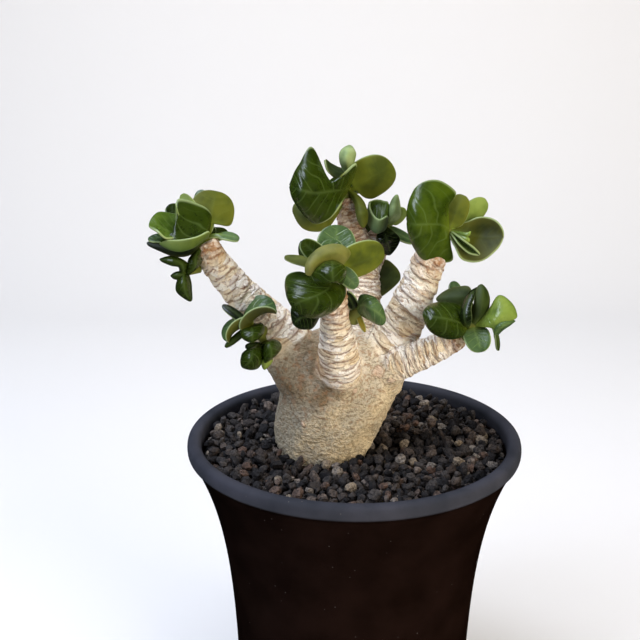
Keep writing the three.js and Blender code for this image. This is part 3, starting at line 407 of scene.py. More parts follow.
# path: x, y, z and radius from inside the caudex to the branch's end. scar: the height of a leaf scar along
# the branch. wide: half its width round the branch, in radians. relief: how far its lower edge stands out.
# sag: how much lower its middle is than its ends. lean: how far the rings droop on the branch's right side.
# cell: how wide and how tall the fine rings drawn on it are. start: where along it the rings begin.
# young: how much of its end still has brown bark.
branches = [
    {"path": [(-13, -5, 119, 10.5), (-21, -5, 130.5, 8.4), (-28, -5.2, 140, 6.0), (-35.5, -6, 148.8, 4.7),
              (-41.5, -6.7, 157, 4.1), (-44.6, -7, 163, 3.6)],
     "scar": 2.7, "wide": 0.8, "relief": 0.5, "sag": 1.1, "lean": 0.0, "cell": (4.4, 2.0),
     "start": 14.5, "young": 9, "seed": 1},
    {"path": [(-4.4, -8.8, 116, 6.3), (-4.7, -15.4, 124.5, 6.2), (-5.2, -20, 133, 5.5),
              (-6.0, -22.8, 141, 4.4), (-6.7, -25.2, 148.5, 3.7), (-6.9, -26.8, 154.5, 3.3)],
     "scar": 1.8, "wide": 1.0, "relief": 0.6, "sag": 0.15, "lean": 0.0, "cell": (4.8, 1.3),
     "start": 13.0, "young": 14, "seed": 2},
    {"path": [(0, -3, 124, 7.6), (1.8, 2, 135.5, 6.0), (2.3, 5.8, 145, 5.5), (1.6, 8.4, 153.5, 5.0),
              (-0.6, 10.2, 162, 4.1), (-2.2, 12, 172.4, 3.4)],
     "scar": 1.35, "wide": 0.6, "relief": 0.5, "sag": 0.5, "lean": 0.1, "cell": (2.6, 1.2),
     "start": 9.0, "young": 26, "seed": 3},
    {"path": [(2.0, 7, 148.5, 4.2), (5.0, 10.5, 154.5, 4.2), (7.4, 13.4, 159, 3.8), (8.4, 14.6, 161.4, 3.4)],
     "scar": 1.35, "wide": 0.6, "relief": 0.5, "sag": 0.5, "lean": 0.1, "cell": (2.6, 1.2),
     "start": -2.0, "young": 14, "seed": 4},
    {"path": [(6, -4, 119, 9.0), (10.8, -4, 129.5, 7.3), (14.6, -4, 138.5, 6.0), (18.3, -4, 147.5, 5.3),
              (21.6, -4.1, 156.3, 4.7), (23.2, -4.2, 159.6, 4.3)],
     "scar": 2.6, "wide": 1.0, "relief": 0.7, "sag": 0.5, "lean": 0.25, "cell": (5.0, 1.7),
     "start": 11.0, "young": 9, "seed": 5},
    {"path": [(5, -8, 121, 6.2), (12.4, -10.8, 126.2, 4.9), (18, -12, 129.4, 4.2), (24.5, -13.2, 132.8, 3.8),
              (30.6, -14.0, 136.6, 3.2)],
     "scar": 1.9, "wide": 1.2, "relief": 0.5, "sag": 0.1, "lean": 0.15, "cell": (4.6, 1.2),
     "start": 9.5, "young": 7, "seed": 6},
]
# how the scars differ from each other, as shares of the branch's own values, and the form that all share
scars = {
    "spiral": 137.5,        # degrees from one scar to the next
    "spare": 6,             # scars beyond either end
    "shift": 0.2, "turn": 0.3, "wide": (0.8, 1.25), "tall": (1.5, 2.3), "lip": (0.75, 1.2), "sag": (0.6, 1.4),
    "edge": 0.16,           # over what share of a scar's height its lower edge rises
    "line": (0.15, 0.32),   # how far above that edge the dark line lies, and how wide it is
}


def caudexShape():
    # Ellipses stacked up the sections' smooth curve, with three broad lumps and seven small ones round each.
    order = [(x, y, height, alongX, alongY) for height, x, y, alongX, alongY in caudex["sections"]]
    rows, _ = curveThrough(order, caudex["rings"])
    x, y, height, alongX, alongY = (column[:, None] for column in rows.T)
    angle = fullTurn(caudex["sides"])
    swell = 1 + caudex["lump"] * (np.sin(3 * angle + height / 9) + 0.6 * np.sin(7 * angle - height / 5))
    rings = np.stack([x + alongX * swell * np.cos(angle), y + alongY * swell * np.sin(angle),
                      np.broadcast_to(height, swell.shape)], axis=-1)
    return closedTube(rings, rows[0, :3] - (0, 0, 0.1), rows[-1, :3] + (0, 0, 0.1))


def branchLine(branch):
    # The middle line of a branch with its radius, its direction, two directions across it, and its length.
    line, length = curveThrough(branch["path"], caudex["branchRings"])
    ahead = unit(np.gradient(line[:, :3], axis=0))
    right = unit(np.array([1.0, 0, 0]) - ahead * ahead[:, :1])
    return line[:, :3], line[:, 3], ahead, right, np.cross(ahead, right), length


def branchShape(branch):
    # A round section carried along the branch's line, with a domed end.
    middle, radius, ahead, right, back, _ = branchLine(branch)
    rings = tubeRings(middle, radius, right, back, caudex["branchSides"])
    return closedTube(rings, middle[0], middle[-1] + ahead[-1] * 0.4)


def fuseBody():
    # The caudex and the branches as overlapping closed shapes, fused in one skin by a voxel remesh.
    shapes = [caudexShape()] + [branchShape(branch) for branch in branches]
    fused = addObject("body", buildMesh("body", *joinShapes(shapes)))
    fuse = fused.modifiers.new("fuse", "REMESH")
    fuse.mode = "VOXEL"
    fuse.voxel_size = caudex["voxel"] * mm
    fuse.use_smooth_shade = True
    bakeModifiers(fused)
    mesh = fused.data
    bpy.data.objects.remove(fused)
    return mesh


def caudexDistance(points):
    # How far points lie outside the stacked ellipses, about.
    sections = np.array(caudex["sections"], float)
    height = points[:, 2]
    x, y, alongX, alongY = (np.interp(height, sections[:, 0], sections[:, k]) for k in (1, 2, 3, 4))
    across = np.hypot((points[:, 0] - x) / alongX, (points[:, 1] - y) / alongY)
    above = np.maximum(height - sections[-1, 0], 0)
    return np.maximum((across - 1) * np.minimum(alongX, alongY), above)


def branchPlaces(points, branch):
    # For each point, where it lies along and round the branch, and how far outside of its skin.
    middle, radius, ahead, right, back, length = branchLine(branch)
    nearest = np.zeros(len(points), int)
    for block in np.array_split(np.arange(len(points)), max(len(points) // 20000, 1)):
        gaps = ((points[block, None, :] - middle[None, :, :]) ** 2).sum(-1)
        nearest[block] = gaps.argmin(1)
    offset = points - middle[nearest]
    along = nearest / (len(middle) - 1) * length + (offset * ahead[nearest]).sum(1)
    sideways = (offset * right[nearest]).sum(1)
    backwards = (offset * back[nearest]).sum(1)
    outside = np.hypot(sideways, backwards) - radius[nearest]
    past = np.maximum(np.abs(along - length / 2) - length / 2, 0)
    distance = np.hypot(outside, past) * np.sign(outside + past)
    return along, np.arctan2(backwards, sideways), distance, radius[nearest], length


def neighbourSum(values, edges):
    # The sum of each point's neighbours' values.
    a, b = edges.T
    size = len(values)
    return np.bincount(a, values[b], size) + np.bincount(b, values[a], size)


def smoothSkin(points, edges, weight, rounds):
    # Moves each point towards the middle of its neighbours, as far as its weight says, many times over.
    count = neighbourSum(np.ones(len(points)), edges)
    for _ in range(rounds):
        total = np.stack([neighbourSum(points[:, k], edges) for k in range(3)], axis=1)
        points = points + (total / count[:, None] - points) * weight[:, None]
    return points


def scarPlates(along, angle, radius, branch, length):
    # Leaf scars overlap like shingles, set in a spiral. Each plate's lower edge is a sagging line, and its
    # skin falls away evenly above that edge until the next plate covers it. The highest plate shows. Also
    # returned: how near each point is to the lower edge of the plate that it lies on.
    rng = np.random.default_rng(branch["seed"])
    step = branch["scar"] * branch["wide"] / math.pi
    count = int(length / step) + 2 * scars["spare"]
    number = np.arange(count)
    shift = rng.uniform(-scars["shift"], scars["shift"], count)
    scarAlong = (number - scars["spare"]) * step + shift * branch["scar"]
    scarAngle = number * math.radians(scars["spiral"]) + rng.uniform(-scars["turn"], scars["turn"], count)
    scarWide = branch["wide"] * rng.uniform(*scars["wide"], count)
    scarTall = branch["scar"] * rng.uniform(*scars["tall"], count)
    lip = branch["relief"] * rng.uniform(*scars["lip"], count)
    sag = branch["sag"] * rng.uniform(*scars["sag"], count)
    place = along + branch["lean"] * radius * np.cos(angle)
    edge = scars["edge"] * branch["scar"]
    lineAbove, lineWidth = scars["line"]
    best = np.zeros(len(along))
    line = np.zeros(len(along))
    for k in range(count):
        near = np.nonzero(np.abs(place - scarAlong[k]) < 3 * branch["scar"])[0]
        turn = (angle[near] - scarAngle[k] + math.pi) % (2 * math.pi) - math.pi
        rise = place[near] - scarAlong[k] - sag[k] * turn ** 2
        reach = np.maximum(1 - np.abs(turn / scarWide[k]) ** 2.5, 0) ** 0.7
        fall = np.clip(1 - (np.maximum(rise, 0) / scarTall[k]) ** 1.3, 0, 1)
        stand = lip[k] * reach * smoothstep(-edge, edge * 0.3, rise) * fall
        nearEdge = np.exp(-((rise - lineAbove) / lineWidth) ** 2) * (reach > 0)
        line[near] = np.where(stand > best[near], nearEdge, line[near])
        best[near] = np.maximum(best[near], stand)
    return best, line


def branchFields(points, places, owner):
    # The scars' height over the skin, and what the bark material reads: where the branches are, how young
    # their bark is, the plates' lower edges, and each point's place on its own branch, straightened.
    wander, wanderSize = caudex["ragged"]
    fields = {name: np.zeros(len(points)) for name in ("height", "branch", "ripe", "line")}
    straight = points.copy()
    for index, (branch, place) in enumerate(zip(branches, places)):
        along, angle, distance, radius, length = place
        close = np.nonzero(distance < caudex["reach"])[0]
        ragged = wander * latticeNoise(points[close], wanderSize, 3)
        onBranch = 1 - smoothstep(*caudex["ringFade"], distance[close] + ragged)
        onBranch *= smoothstep(branch["start"] - 2.5, branch["start"] + 2.0, along[close] + 2 * ragged)
        plates, line = scarPlates(along[close], angle[close], radius[close], branch, length)
        higher = plates * onBranch > fields["height"][close]
        fields["line"][close] = np.where(higher, line * onBranch, fields["line"][close])
        fields["height"][close] = np.maximum(fields["height"][close], plates * onBranch)
        fields["branch"][close] = np.maximum(fields["branch"][close], onBranch)
        mine = np.nonzero(owner == index)[0]
        spin = np.stack([np.cos(angle[mine]), np.sin(angle[mine])], axis=1) * radius[mine, None]
        drop = branch["lean"] * radius[mine] * np.cos(angle[mine])
        drop = drop + 0.5 * latticeNoise(points[mine], 3.5, 9)
        wide, tall = branch["cell"]
        upward = (along[mine] + drop) / tall + caudex["patternGap"] * index
        straight[mine] = np.column_stack([spin / wide, upward])
        young = smoothstep(length - branch["young"], length - 1, along[mine])
        fields["ripe"][mine] = young * fields["branch"][mine]
    return fields, straight


def addSkin(points, fields):
    # The skin's own relief: wrinkles wider than they are high, broad waves on the caudex, and the oval scars.
    bare = 1 - fields["branch"]
    flat = points * [1, 1, 1.9]
    coarse, fine = caudex["wrinkleSizes"]
    grains = latticeNoise(flat, coarse, 5) + 0.7 * latticeNoise(flat, fine, 6)
    wave, waveSize = caudex["wave"]
    waves = wave * latticeNoise(points, waveSize, 7) * bare
    fields["height"] += caudex["wrinkle"] * grains * (0.45 + 0.55 * bare) + waves
    rough, roughSize = caudex["roughness"]
    fields["height"] += rough * latticeNoise(points, roughSize, 8) * fields["branch"]
    fields["spot"] = np.zeros(len(points))
    inFront = points[:, 1] < caudex["sections"][0][2]
    for x, z, wide, tall, lift in caudex["spots"]:
        apart = np.hypot((points[:, 0] - x) / wide, (points[:, 2] - z) / tall)
        apart = apart + 0.25 * latticeNoise(points, 1, 10)
        onSpot = (1 - smoothstep(0.55, 1.1, apart)) * inFront
        fields["height"] += lift * onSpot
        fields["spot"] = np.maximum(fields["spot"], onSpot * (lift > 0))


def addPatches(points, fields, name):
    # Soft-edged ovals on the front, for the colour alone.
    fields[name] = np.zeros(len(points))
    for x, z, wide, tall in caudex[name]:
        apart = ((points[:, 0] - x) / wide) ** 2 + ((points[:, 2] - z) / tall) ** 2
        fields[name] = np.maximum(fields[name], np.exp(-apart + 0.8 * latticeNoise(points, 2.5, 12)))
    onFront = 1 - smoothstep(*caudex["frontEdge"], points[:, 1])
    fields[name] = np.minimum(fields[name], caudex["mostPatch"]) * onFront


def buildBody():
    mesh = fuseBody()
    points = readRows(mesh.vertices, "co", 3).astype(float) / mm
    edges = readRows(mesh.edges, "vertices", 2, np.int32)
    places = [branchPlaces(points, branch) for branch in branches]
    distances = np.abs(np.stack([caudexDistance(points)] + [place[2] for place in places], axis=1))
    joint = 1 - smoothstep(0, caudex["fillet"], np.sort(distances, axis=1)[:, 1])
    everywhere, more, rounds = caudex["smoothing"]
    points = smoothSkin(points, edges, everywhere + more * joint, rounds)
    movePoints(mesh, points)
    normals = readRows(mesh.vertex_normals, "vector", 3).astype(float)
    fields, straight = branchFields(points, places, distances[:, 1:].argmin(1))
    addSkin(points, fields)
    addPatches(points, fields, "brown")
    addPatches(points, fields, "white")
    # how far each point lies below the middle of its neighbours
    around = neighbourSum(fields["height"], edges) / neighbourSum(np.ones(len(points)), edges)
    fields["hollow"] = around - fields["height"]
    movePoints(mesh, points + normals * fields["height"][:, None])
    for name in ("hollow", "branch", "ripe", "spot", "line", "brown", "white"):
        addAttribute(mesh, name, np.minimum(fields[name], 1))
    addAttribute(mesh, "straight", straight, "FLOAT_VECTOR", "vector")
    return mesh


def caudexBark(tree, place, field, broad, rust):
    # Finely wrinkled skin, its hollows painted darker as shade, grey-beige on the shoulders and golden below,
    # painted brighter low down and darker to the upper left as painted light and shade, with a whitish patch
    # and a brown patch that is partly old bark and partly painted shadow, orange-brown flecks among the
    # branches, and pinkish scars with a brown edge.
    slanted = addNode(tree, "Mapping", {"Vector": place, "Rotation": (0, 0.6, 0), "Scale": (0.85, 1.0, 1.2)})
    wrinkle = addNode(tree, "TexNoise", {
        "Vector": slanted, "Scale": perSize(0.8), "Detail": 4.0, "Roughness": 0.6, "Distortion": 0.3})
    axes = addNode(tree, "SeparateXYZ", [place])
    # besides the bark's own grey and golden tones, painted light: the skin is brighter and more golden low
    # down, and greyer and darker to the upper left, the shadow side
    upper = addNode(tree, "MapRange", [axes.outputs["Z"], 92 * mm, 124 * mm])
    leftward = addNode(tree, "MapRange", [axes.outputs["X"], -24 * mm, 6 * mm, 0.5, 0.0])
    grey = addNode(tree, "Math", [upper, 0.5, leftward], operation="MULTIPLY_ADD")
    toneAndLight = addNode(tree, "Math", [grey, 0.45, broad], operation="MULTIPLY_ADD")
    skin = addNode(tree, "ValToRGB", [toneAndLight], ramp=[
        (0.38, "#fff2d0"), (0.50, "#f8e6c0"), (0.60, "#e6d5b2"), (0.74, "#c9bda3"), (0.92, "#b8ae99")])
    # painted shade: the wrinkles' low places, from the same noise as their bump, are darker
    grainShade = addNode(tree, "ValToRGB", [wrinkle], ramp=[
        (0.37, "#846f54"), (0.43, "#bfb096"), (0.49, "#f6f1e8"), (0.56, "#ffffff")])
    whiteShare = addNode(tree, "Math", [field["white"], 0.55], operation="MULTIPLY")
    whitened = addNode(tree, "Mix", {0: whiteShare, 6: skin, 7: "#f8eed8"}, **blended)
    # the brown patch is partly old bark and partly painted shadow beside the front branch
    browned = addNode(tree, "Mix", {0: field["brown"], 6: whitened, 7: "#ab977b"}, **multiplied)
    wrinkled = addNode(tree, "Mix", {0: 0.5, 6: browned, 7: grainShade}, **multiplied)
    rusty = addNode(tree, "MapRange", [rust, 0.52, 0.62, 0.0, 0.6])
    rustShare = addNode(tree, "Math", [rusty, upper], operation="MULTIPLY")
    flecky = addNode(tree, "Mix", {0: rustShare, 6: wrinkled, 7: "#a47a55"}, **blended)
    pinkShare = addNode(tree, "Math", [field["spot"], 0.65], operation="MULTIPLY")
    pinked = addNode(tree, "Mix", {0: pinkShare, 6: flecky, 7: "#e6c6ad"}, **blended)
    onEdge = addNode(tree, "Math", [field["spot"], 0.3, 0.2], operation="COMPARE")
    edgeShare = addNode(tree, "Math", [onEdge, 0.4], operation="MULTIPLY")
    spotted = addNode(tree, "Mix", {0: edgeShare, 6: pinked, 7: "#95694b"}, **blended)
    relief = addNode(tree, "Math", [wrinkle, 1.7], operation="MULTIPLY")
    return spotted, relief


def branchBark(tree, field, fine, rust):
    # Cream bark in fine rings with brown creases painted darker as shade, drawn on each branch's own
    # straightened coordinates. Each ring is a row of shells, with painted shade where one tucks under the
    # next.
    # The bark at the tip is young and brown.
    straight = addNode(tree, "Attribute", attribute_name="straight").outputs["Vector"]
    cellPlace = addNode(tree, "Mapping", {"Vector": straight, "Scale": (1.0, 1.0, 0.6)})
    shells = addNode(tree, "TexVoronoi", {"Vector": cellPlace, "Scale": 1.0, "Randomness": 0.95})
    own = addNode(tree, "SeparateXYZ", [cellPlace])
    centre = addNode(tree, "SeparateXYZ", [shells.outputs["Position"]])
    drop = addNode(tree, "Math", [centre.outputs["Z"], own.outputs["Z"]], operation="SUBTRACT")
    rise = addNode(tree, "MapRange", [drop, -0.5, 0.5])
    tone = addNode(tree, "SeparateXYZ", [shells.outputs["Color"]])
    plate = addNode(tree, "ValToRGB", [tone], ramp=[
        (0.0, "#e8d5b1"), (0.35, "#f7edd6"), (0.7, "#fffaf0"), (1.0, "#f0e6cf")])
    # painted shade: each shell is darker towards its top, where it tucks under the next
    under = addNode(tree, "ValToRGB", [rise], ramp=[(0.12, "#8f6240"), (0.26, "#d8ba94"), (0.42, "#ffffff")])
    shelled = addNode(tree, "Mix", {0: 0.3, 6: plate, 7: under}, **multiplied)
    # one ring to a unit of the straightened height
    ringPlace = addNode(tree, "Mapping", {"Vector": straight, "Scale": (2.0, 2.0, 1.0)})
    rings = addNode(tree, "TexWave", {
        "Vector": ringPlace, "Scale": 0.314, "Distortion": 9.0, "Detail": 2.0, "Detail Scale": 2.0,
        "Detail Roughness": 0.5}, bands_direction="Z").outputs["Fac"]
    # the creases, low in the same waves that fold the relief, are brown and painted darker as shade
    crease = addNode(tree, "ValToRGB", [rings], ramp=[
        (0.0, "#80543a"), (0.07, "#c09a75"), (0.17, "#f3e8d6"), (0.32, "#ffffff")])
    creaseShare = addNode(tree, "MapRange", [rust, 0.42, 0.58, 0.15, 0.65])
    creased = addNode(tree, "Mix", {0: creaseShare, 6: shelled, 7: crease}, **multiplied)
    flecks = addNode(tree, "ValToRGB", [fine], ramp=[(0.32, "#96744f"), (0.40, "#dccdb5"), (0.47, "#ffffff")])
    flecked = addNode(tree, "Mix", {0: 0.25, 6: creased, 7: flecks}, **multiplied)
    youngPatch = addNode(tree, "MapRange", [rust, 0.40, 0.60, 0.25, 0.85])
    youngShare = addNode(tree, "Math", [field["ripe"], youngPatch], operation="MULTIPLY")
    young = addNode(tree, "Mix", {0: youngShare, 6: flecked, 7: "#a8764a"}, **blended)
    lineShare = addNode(tree, "Math", [field["line"], 0.7], operation="MULTIPLY")
    outlined = addNode(tree, "Mix", {0: lineShare, 6: young, 7: "#744b31"}, **blended)
    # the brown patch reaches onto the branch bases: partly old bark, partly painted shadow on their left
    # flanks
    agedAndShaded = addNode(tree, "Mix", {0: field["brown"], 6: outlined, 7: "#b89a76"}, **multiplied)
    fold = addNode(tree, "Math", [rings, 0.5], operation="POWER")
    lowFold = addNode(tree, "Math", [fold, creaseShare], operation="MULTIPLY")
    relief = addNode(tree, "Math", [rise, 0.4, lowFold], operation="MULTIPLY_ADD")
    return agedAndShaded, relief


def barkMaterial():
    # Dry cork-like bark of a desert succulent, matt, painted darker in its hollows as shade.
    material, tree, shader, place = startMaterial("dry_caudex_bark")
    field = {name: addNode(tree, "Attribute", attribute_name=name).outputs["Fac"]
             for name in ("hollow", "branch", "ripe", "spot", "line", "brown", "white")}
    broad = addNode(tree, "TexNoise", {"Vector": place, "Scale": perSize(9), "Detail": 4.0})
    fine, rust = (addNode(tree, "TexNoise", {
        "Vector": place, "Scale": perSize(size), "Detail": detail, "Roughness": 0.6})
        for size, detail in ((0.6, 4.0), (1.6, 3.0)))
    skin, pebbled = caudexBark(tree, place, field, broad, rust)
    ringed, folded = branchBark(tree, field, fine, rust)
    base = addNode(tree, "Mix", {0: field["branch"], 6: skin, 7: ringed}, **blended)
    # painted shade: the skin is darker wherever it lies below its neighbours
    cut = addNode(tree, "MapRange", [field["hollow"], 0.04, 0.17, 0.0, 0.55])
    hollowShaded = addNode(tree, "Mix", {0: cut, 6: base, 7: "#74543a"}, **blended)
    relief = addNode(tree, "Mix", {0: field["branch"], 2: pebbled, 3: folded}, data_type="FLOAT")
    rough = addNode(tree, "Math", [fine, 0.6, relief], operation="MULTIPLY_ADD")
    bump = addNode(tree, "Bump", {"Height": rough, "Strength": 1.0, "Distance": 0.75 * mm})
    plugIn(tree, shader, {
        "Base Color": hollowShaded, "Roughness": 0.85, "Specular IOR Level": 0.25, "Normal": bump})
    return material


body = addPiece("caudex_bark", buildBody(), barkMaterial(), ["caudex_and_branches"])
print("body built", len(body.data.vertices))


# The gravel: angular lava grains over a bed of the same, painted in its darkest tone as the shade between the
# grains

gravel = {
    "top": 95.2, "bedDrop": 2.6, "clearance": 0.35, "grains": 2300, "smallest": 1.8, "largest": 5.0,
    # the hole round the caudex: heights and radii, its lowest point, its middle, and its width along y as a
    # share of that along x
    "holeRings": [(94, 13.6), (88, 12.5), (80, 9.9), (74, 6.2)], "holeFoot": 72, "holeMiddle": (-9.6, -4.0),
    "squash": 0.92,
    "keepOut": 13.8,    # no grain lies nearer to the hole's middle
    "cell": 0.4,        # the cells of the map of heights on which the grains fall
    "tries": 60,        # how many places each grain tries
    "mix": (1.7, 3.0),  # the spread of the sizes, as the two numbers of a beta distribution
    "sink": 0.42,       # how high a grain's middle comes to rest, as a share of its radius
    "cap": 0.72,        # how high it stands above its middle
    "planes": 8,        # how many flat faces a grain is broken to
    "depth": (0.5, 0.95),                   # how deep they cut
    "least": (0.85, 0.72, 0.62), "most": (1.25, 1.0, 0.95),     # how far a grain is stretched along its axes
    "relief": (0.5, 2.5),                   # how high and how broad the bed's unevenness is
    # points round each ring of the bed, how many rings lie across it, and the heights of those down the wall
    "bedSides": 120, "bedRings": 40, "wallRings": (80, 60, 40, 20),
}


def buildBed():
    # Rings of points blended from the hole round the caudex out to the pot's wall, then down the wall and in
    # below, closed by a cup round the caudex's foot.
    angle = fullTurn(gravel["bedSides"])
    level = np.ones(len(angle))
    spin = np.stack([np.cos(angle), np.sin(angle)], axis=1)
    hole = np.array(gravel["holeMiddle"])
    bottom = pot["floor"] + gravel["clearance"]
    rings = []
    for height, radius in reversed(gravel["holeRings"]):
        ring = hole + (radius + gravel["clearance"]) * spin * [1, gravel["squash"]]
        rings.append(np.column_stack([ring, height * level]))
    inner = rings[-1][:, :2]
    bedTop = gravel["top"] - gravel["bedDrop"]
    outer = (insideRadius(bedTop) - gravel["clearance"]) * spin
    relief, reliefSize = gravel["relief"]
    for share in np.linspace(0, 1, gravel["bedRings"]):
        ring = inner * (1 - share) + outer * share
        rough = latticeNoise(np.column_stack([ring, 0 * level]), reliefSize, 4)
        rings.append(np.column_stack([ring, bedTop + relief * rough]))
    for height in (*gravel["wallRings"], bottom):
        ring = (insideRadius(height) - gravel["clearance"]) * spin
        rings.append(np.column_stack([ring, height * level]))
    points, quads, fans = closedTube(np.array(rings), (*hole, gravel["holeFoot"]), (0, 0, bottom))
    return points, quads[:, ::-1], fans[:, ::-1]


def dropGrains():
    # Grains fall one by one onto a map of heights and rest on what lies there. Each tries several places and
    # takes the lowest, so the bed fills up level.
    rng = np.random.default_rng(11)
    cell = gravel["cell"]
    size = int(2 * pot["rimRadius"] / cell)
    grid = (np.arange(size) + 0.5) * cell - pot["rimRadius"]
    heights = np.full((size, size), gravel["top"] - gravel["bedDrop"])
    hole = np.array(gravel["holeMiddle"])
    spread = gravel["largest"] - gravel["smallest"]
    sizes = gravel["smallest"] + spread * rng.beta(*gravel["mix"], gravel["grains"])
    wall = insideRadius(gravel["top"]) - gravel["clearance"]
    made = []
    for radius in sizes / 2:
        tries = rng.uniform(-wall, wall, (gravel["tries"], 2))
        fromMiddle = np.hypot(tries[:, 0], tries[:, 1])
        fromHole = np.hypot(tries[:, 0] - hole[0], (tries[:, 1] - hole[1]) / gravel["squash"])
        free = (fromMiddle < wall - 1.05 * radius) & (fromHole > gravel["keepOut"] + 0.75 * radius)
        tries = tries[free]
        column, row = ((tries + pot["rimRadius"]) / cell).astype(int).T
        reach = max(int(0.6 * radius / cell), 1)
        spots = [heights[r - reach:r + reach + 1, c - reach:c + reach + 1].max() for r, c in zip(row, column)]
        pick = int(np.argmin(spots))
        x, y = tries[pick]
        z = spots[pick] + gravel["sink"] * radius
        made.append((x, y, z, radius))
        reach = int(radius / cell) + 1
        nearRow = slice(row[pick] - reach, row[pick] + reach + 1)
        nearColumn = slice(column[pick] - reach, column[pick] + reach + 1)
        nearX, nearY = np.meshgrid(grid[nearColumn], grid[nearRow])
        apart = (nearX - x) ** 2 + (nearY - y) ** 2
        cap = z + gravel["cap"] * np.sqrt(np.maximum(radius ** 2 - apart, 0))
        block = heights[nearRow, nearColumn]
        heights[nearRow, nearColumn] = np.where(apart < radius ** 2, np.maximum(block, cap), block)
    return np.array(made)


def cubeBall():
    # The 26 surface points of a 3 by 3 by 3 block as directions, with its 24 quads.
    places = [(x, y, z) for x in (-1, 0, 1) for y in (-1, 0, 1) for z in (-1, 0, 1) if (x, y, z) != (0, 0, 0)]
    index = {place: k for k, place in enumerate(places)}
    quads = []
    for axis, end, u, v in np.ndindex(3, 2, 2, 2):
        ring = []
        for du, dv in ((0, 0), (1, 0), (1, 1), (0, 1)):
            place = [0, 0, 0]
            place[axis] = 2 * end - 1
            place[(axis + 1) % 3] = u - 1 + du
            place[(axis + 2) % 3] = v - 1 + dv
            ring.append(index[tuple(place)])
        quads.append(ring if end else ring[::-1])
    return unit(np.array(places, float)), np.array(quads)


def buildGrains(grains):
    # Each grain is the block's points pulled in to a few random planes, squashed, turned and set in place.
    rng = np.random.default_rng(12)
    directions, quads = cubeBall()
    count = len(grains)
    planes = unit(rng.normal(size=(count, gravel["planes"], 3)))
    depth = rng.uniform(*gravel["depth"], (count, gravel["planes"]))
    facing = np.einsum("pk,nqk->npq", directions, planes)
    limit = np.where(facing > 0.05, depth[:, None, :] / np.maximum(facing, 0.05), 9)
    radius = np.minimum(limit.min(-1), 1.12) * rng.uniform(0.94, 1.06, (count, len(directions)))
    stretch = rng.uniform(gravel["least"], gravel["most"], (count, 1, 3))
    shape = directions[None] * radius[..., None] * stretch
    w, x, y, z = unit(rng.normal(size=(count, 4))).T
    rotation = np.stack([
        1 - 2 * (y * y + z * z), 2 * (x * y - w * z), 2 * (x * z + w * y),
        2 * (x * y + w * z), 1 - 2 * (x * x + z * z), 2 * (y * z - w * x),
        2 * (x * z - w * y), 2 * (y * z + w * x), 1 - 2 * (x * x + y * y)], axis=1).reshape(-1, 3, 3)
    points = np.einsum("nij,npj->npi", rotation, shape) * grains[:, 3][:, None, None] + grains[:, None, :3]
    faces = quads[None] + np.arange(count)[:, None, None] * len(directions)
    tones = np.repeat(rng.uniform(0, 1, count), len(directions))
    return points.reshape(-1, 3), faces.reshape(-1, 4), tones


def lavaMaterial():
    # Crushed lava: dull, pitted, charcoal grains, with brown, red-brown and grey ones among them.
    material, tree, shader, place = startMaterial("crushed_lava")
    tone = addNode(tree, "Attribute", attribute_name="tone").outputs["Fac"]
    grain = addNode(tree, "ValToRGB", [tone], ramp=[
        (0.0, "#191718"), (0.3, "#302d2d"), (0.5, "#4b4643"), (0.64, "#38312d"), (0.78, "#5b5048"),
        (0.87, "#634d41"), (0.94, "#8a8279"), (1.0, "#8f806b")])
    pits = addNode(tree, "TexNoise", {
        "Vector": place, "Scale": perSize(0.7), "Detail": 4.0, "Roughness": 0.7})
    shade = addNode(tree, "ValToRGB", [pits], ramp=[(0.36, "#3c3836"), (0.58, "#ffffff")])
    base = addNode(tree, "Mix", {0: 0.85, 6: grain, 7: shade}, **multiplied)
    bump = addNode(tree, "Bump", {"Height": pits, "Strength": 1.0, "Distance": 0.6 * mm})
    plugIn(tree, shader, {"Base Color": base, "Roughness": 0.78, "Normal": bump})
    return material


lava = lavaMaterial()
bedShape = buildBed()
bed = buildMesh("gravel_bed", *bedShape)
# the bed takes the darkest tone: painted shade in the gaps between the grains
addAttribute(bed, "tone", np.zeros(len(bedShape[0])))
addPiece("gravel_bed", bed, lava, ["gravel"])
grainPoints, grainQuads, grainTones = buildGrains(dropGrains())
grains = buildMesh("gravel_grains", grainPoints, grainQuads, smooth=False)
addAttribute(grains, "tone", grainTones)
addPiece("gravel_grains", grains, lava, [])
print("gravel built", len(grainQuads) * 2)


# The leaves: nine heads, each one green shoot tip with its leaves grown on it

leafRules = {
    "thickness": 0.9, "stalkThickness": 1.5,
    "neck": 1.8, "least": 0.7,                  # the width at the stalk, and the least width anywhere
    "square": 2.2,                              # 2 gives an oval outline, and more a squarer one
    "spacing": 0.40,                            # between the points of the mesh
    "rows": (14, 76), "columns": (9, 64),       # the fewest and the most of them
    "veinSpacing": 2.7,                         # between side veins, on a leaf 12 wide
    "veinSlant": 0.50, "veinCurve": 0.035,      # how the side veins run forward towards the margin
    "veinWander": (0.4, 5),                     # how unevenly they are spaced, and over what length
    "bulge": 0.34,                              # how far the blade swells between the veins
    "groove": 1.4, "midGroove": 1.3,            # how wide it is sunk along the side veins and the midrib
    "wave": (0.16, 3.2),                        # how uneven the blade is besides, and over what length
    "midrib": 0.42, "rib": 0.28,                # its half width, and how far it stands out below
    "paleVeins": 2.2,                           # how much stronger the veins of the bluish leaves show
    "shoot": (2.4, 1.3), "twig": (1.3, 1.0),    # radius at the foot and at the tip
}
# the bluish tone is the leaves' own green with a painted reflection of the sky's bluish sheen
# the deep tone is the near-black green of leaves and undersides that lie in shade: painted shade
leafTones = {
    "dark": "#2c3a08", "blue": "#4c633b", "olive": "#5a6008", "light": "#7a8c3c", "deep": "#17210a",
    "brown": "#5a4a22", "moss": "#38461a", "yellow": "#96822a", "fresh": "#4b601c", "pale": "#97a872",
    "warm": "#3f4205", "mid": "#3f500d", "gold": "#626a09", "dusty": "#717030",
}


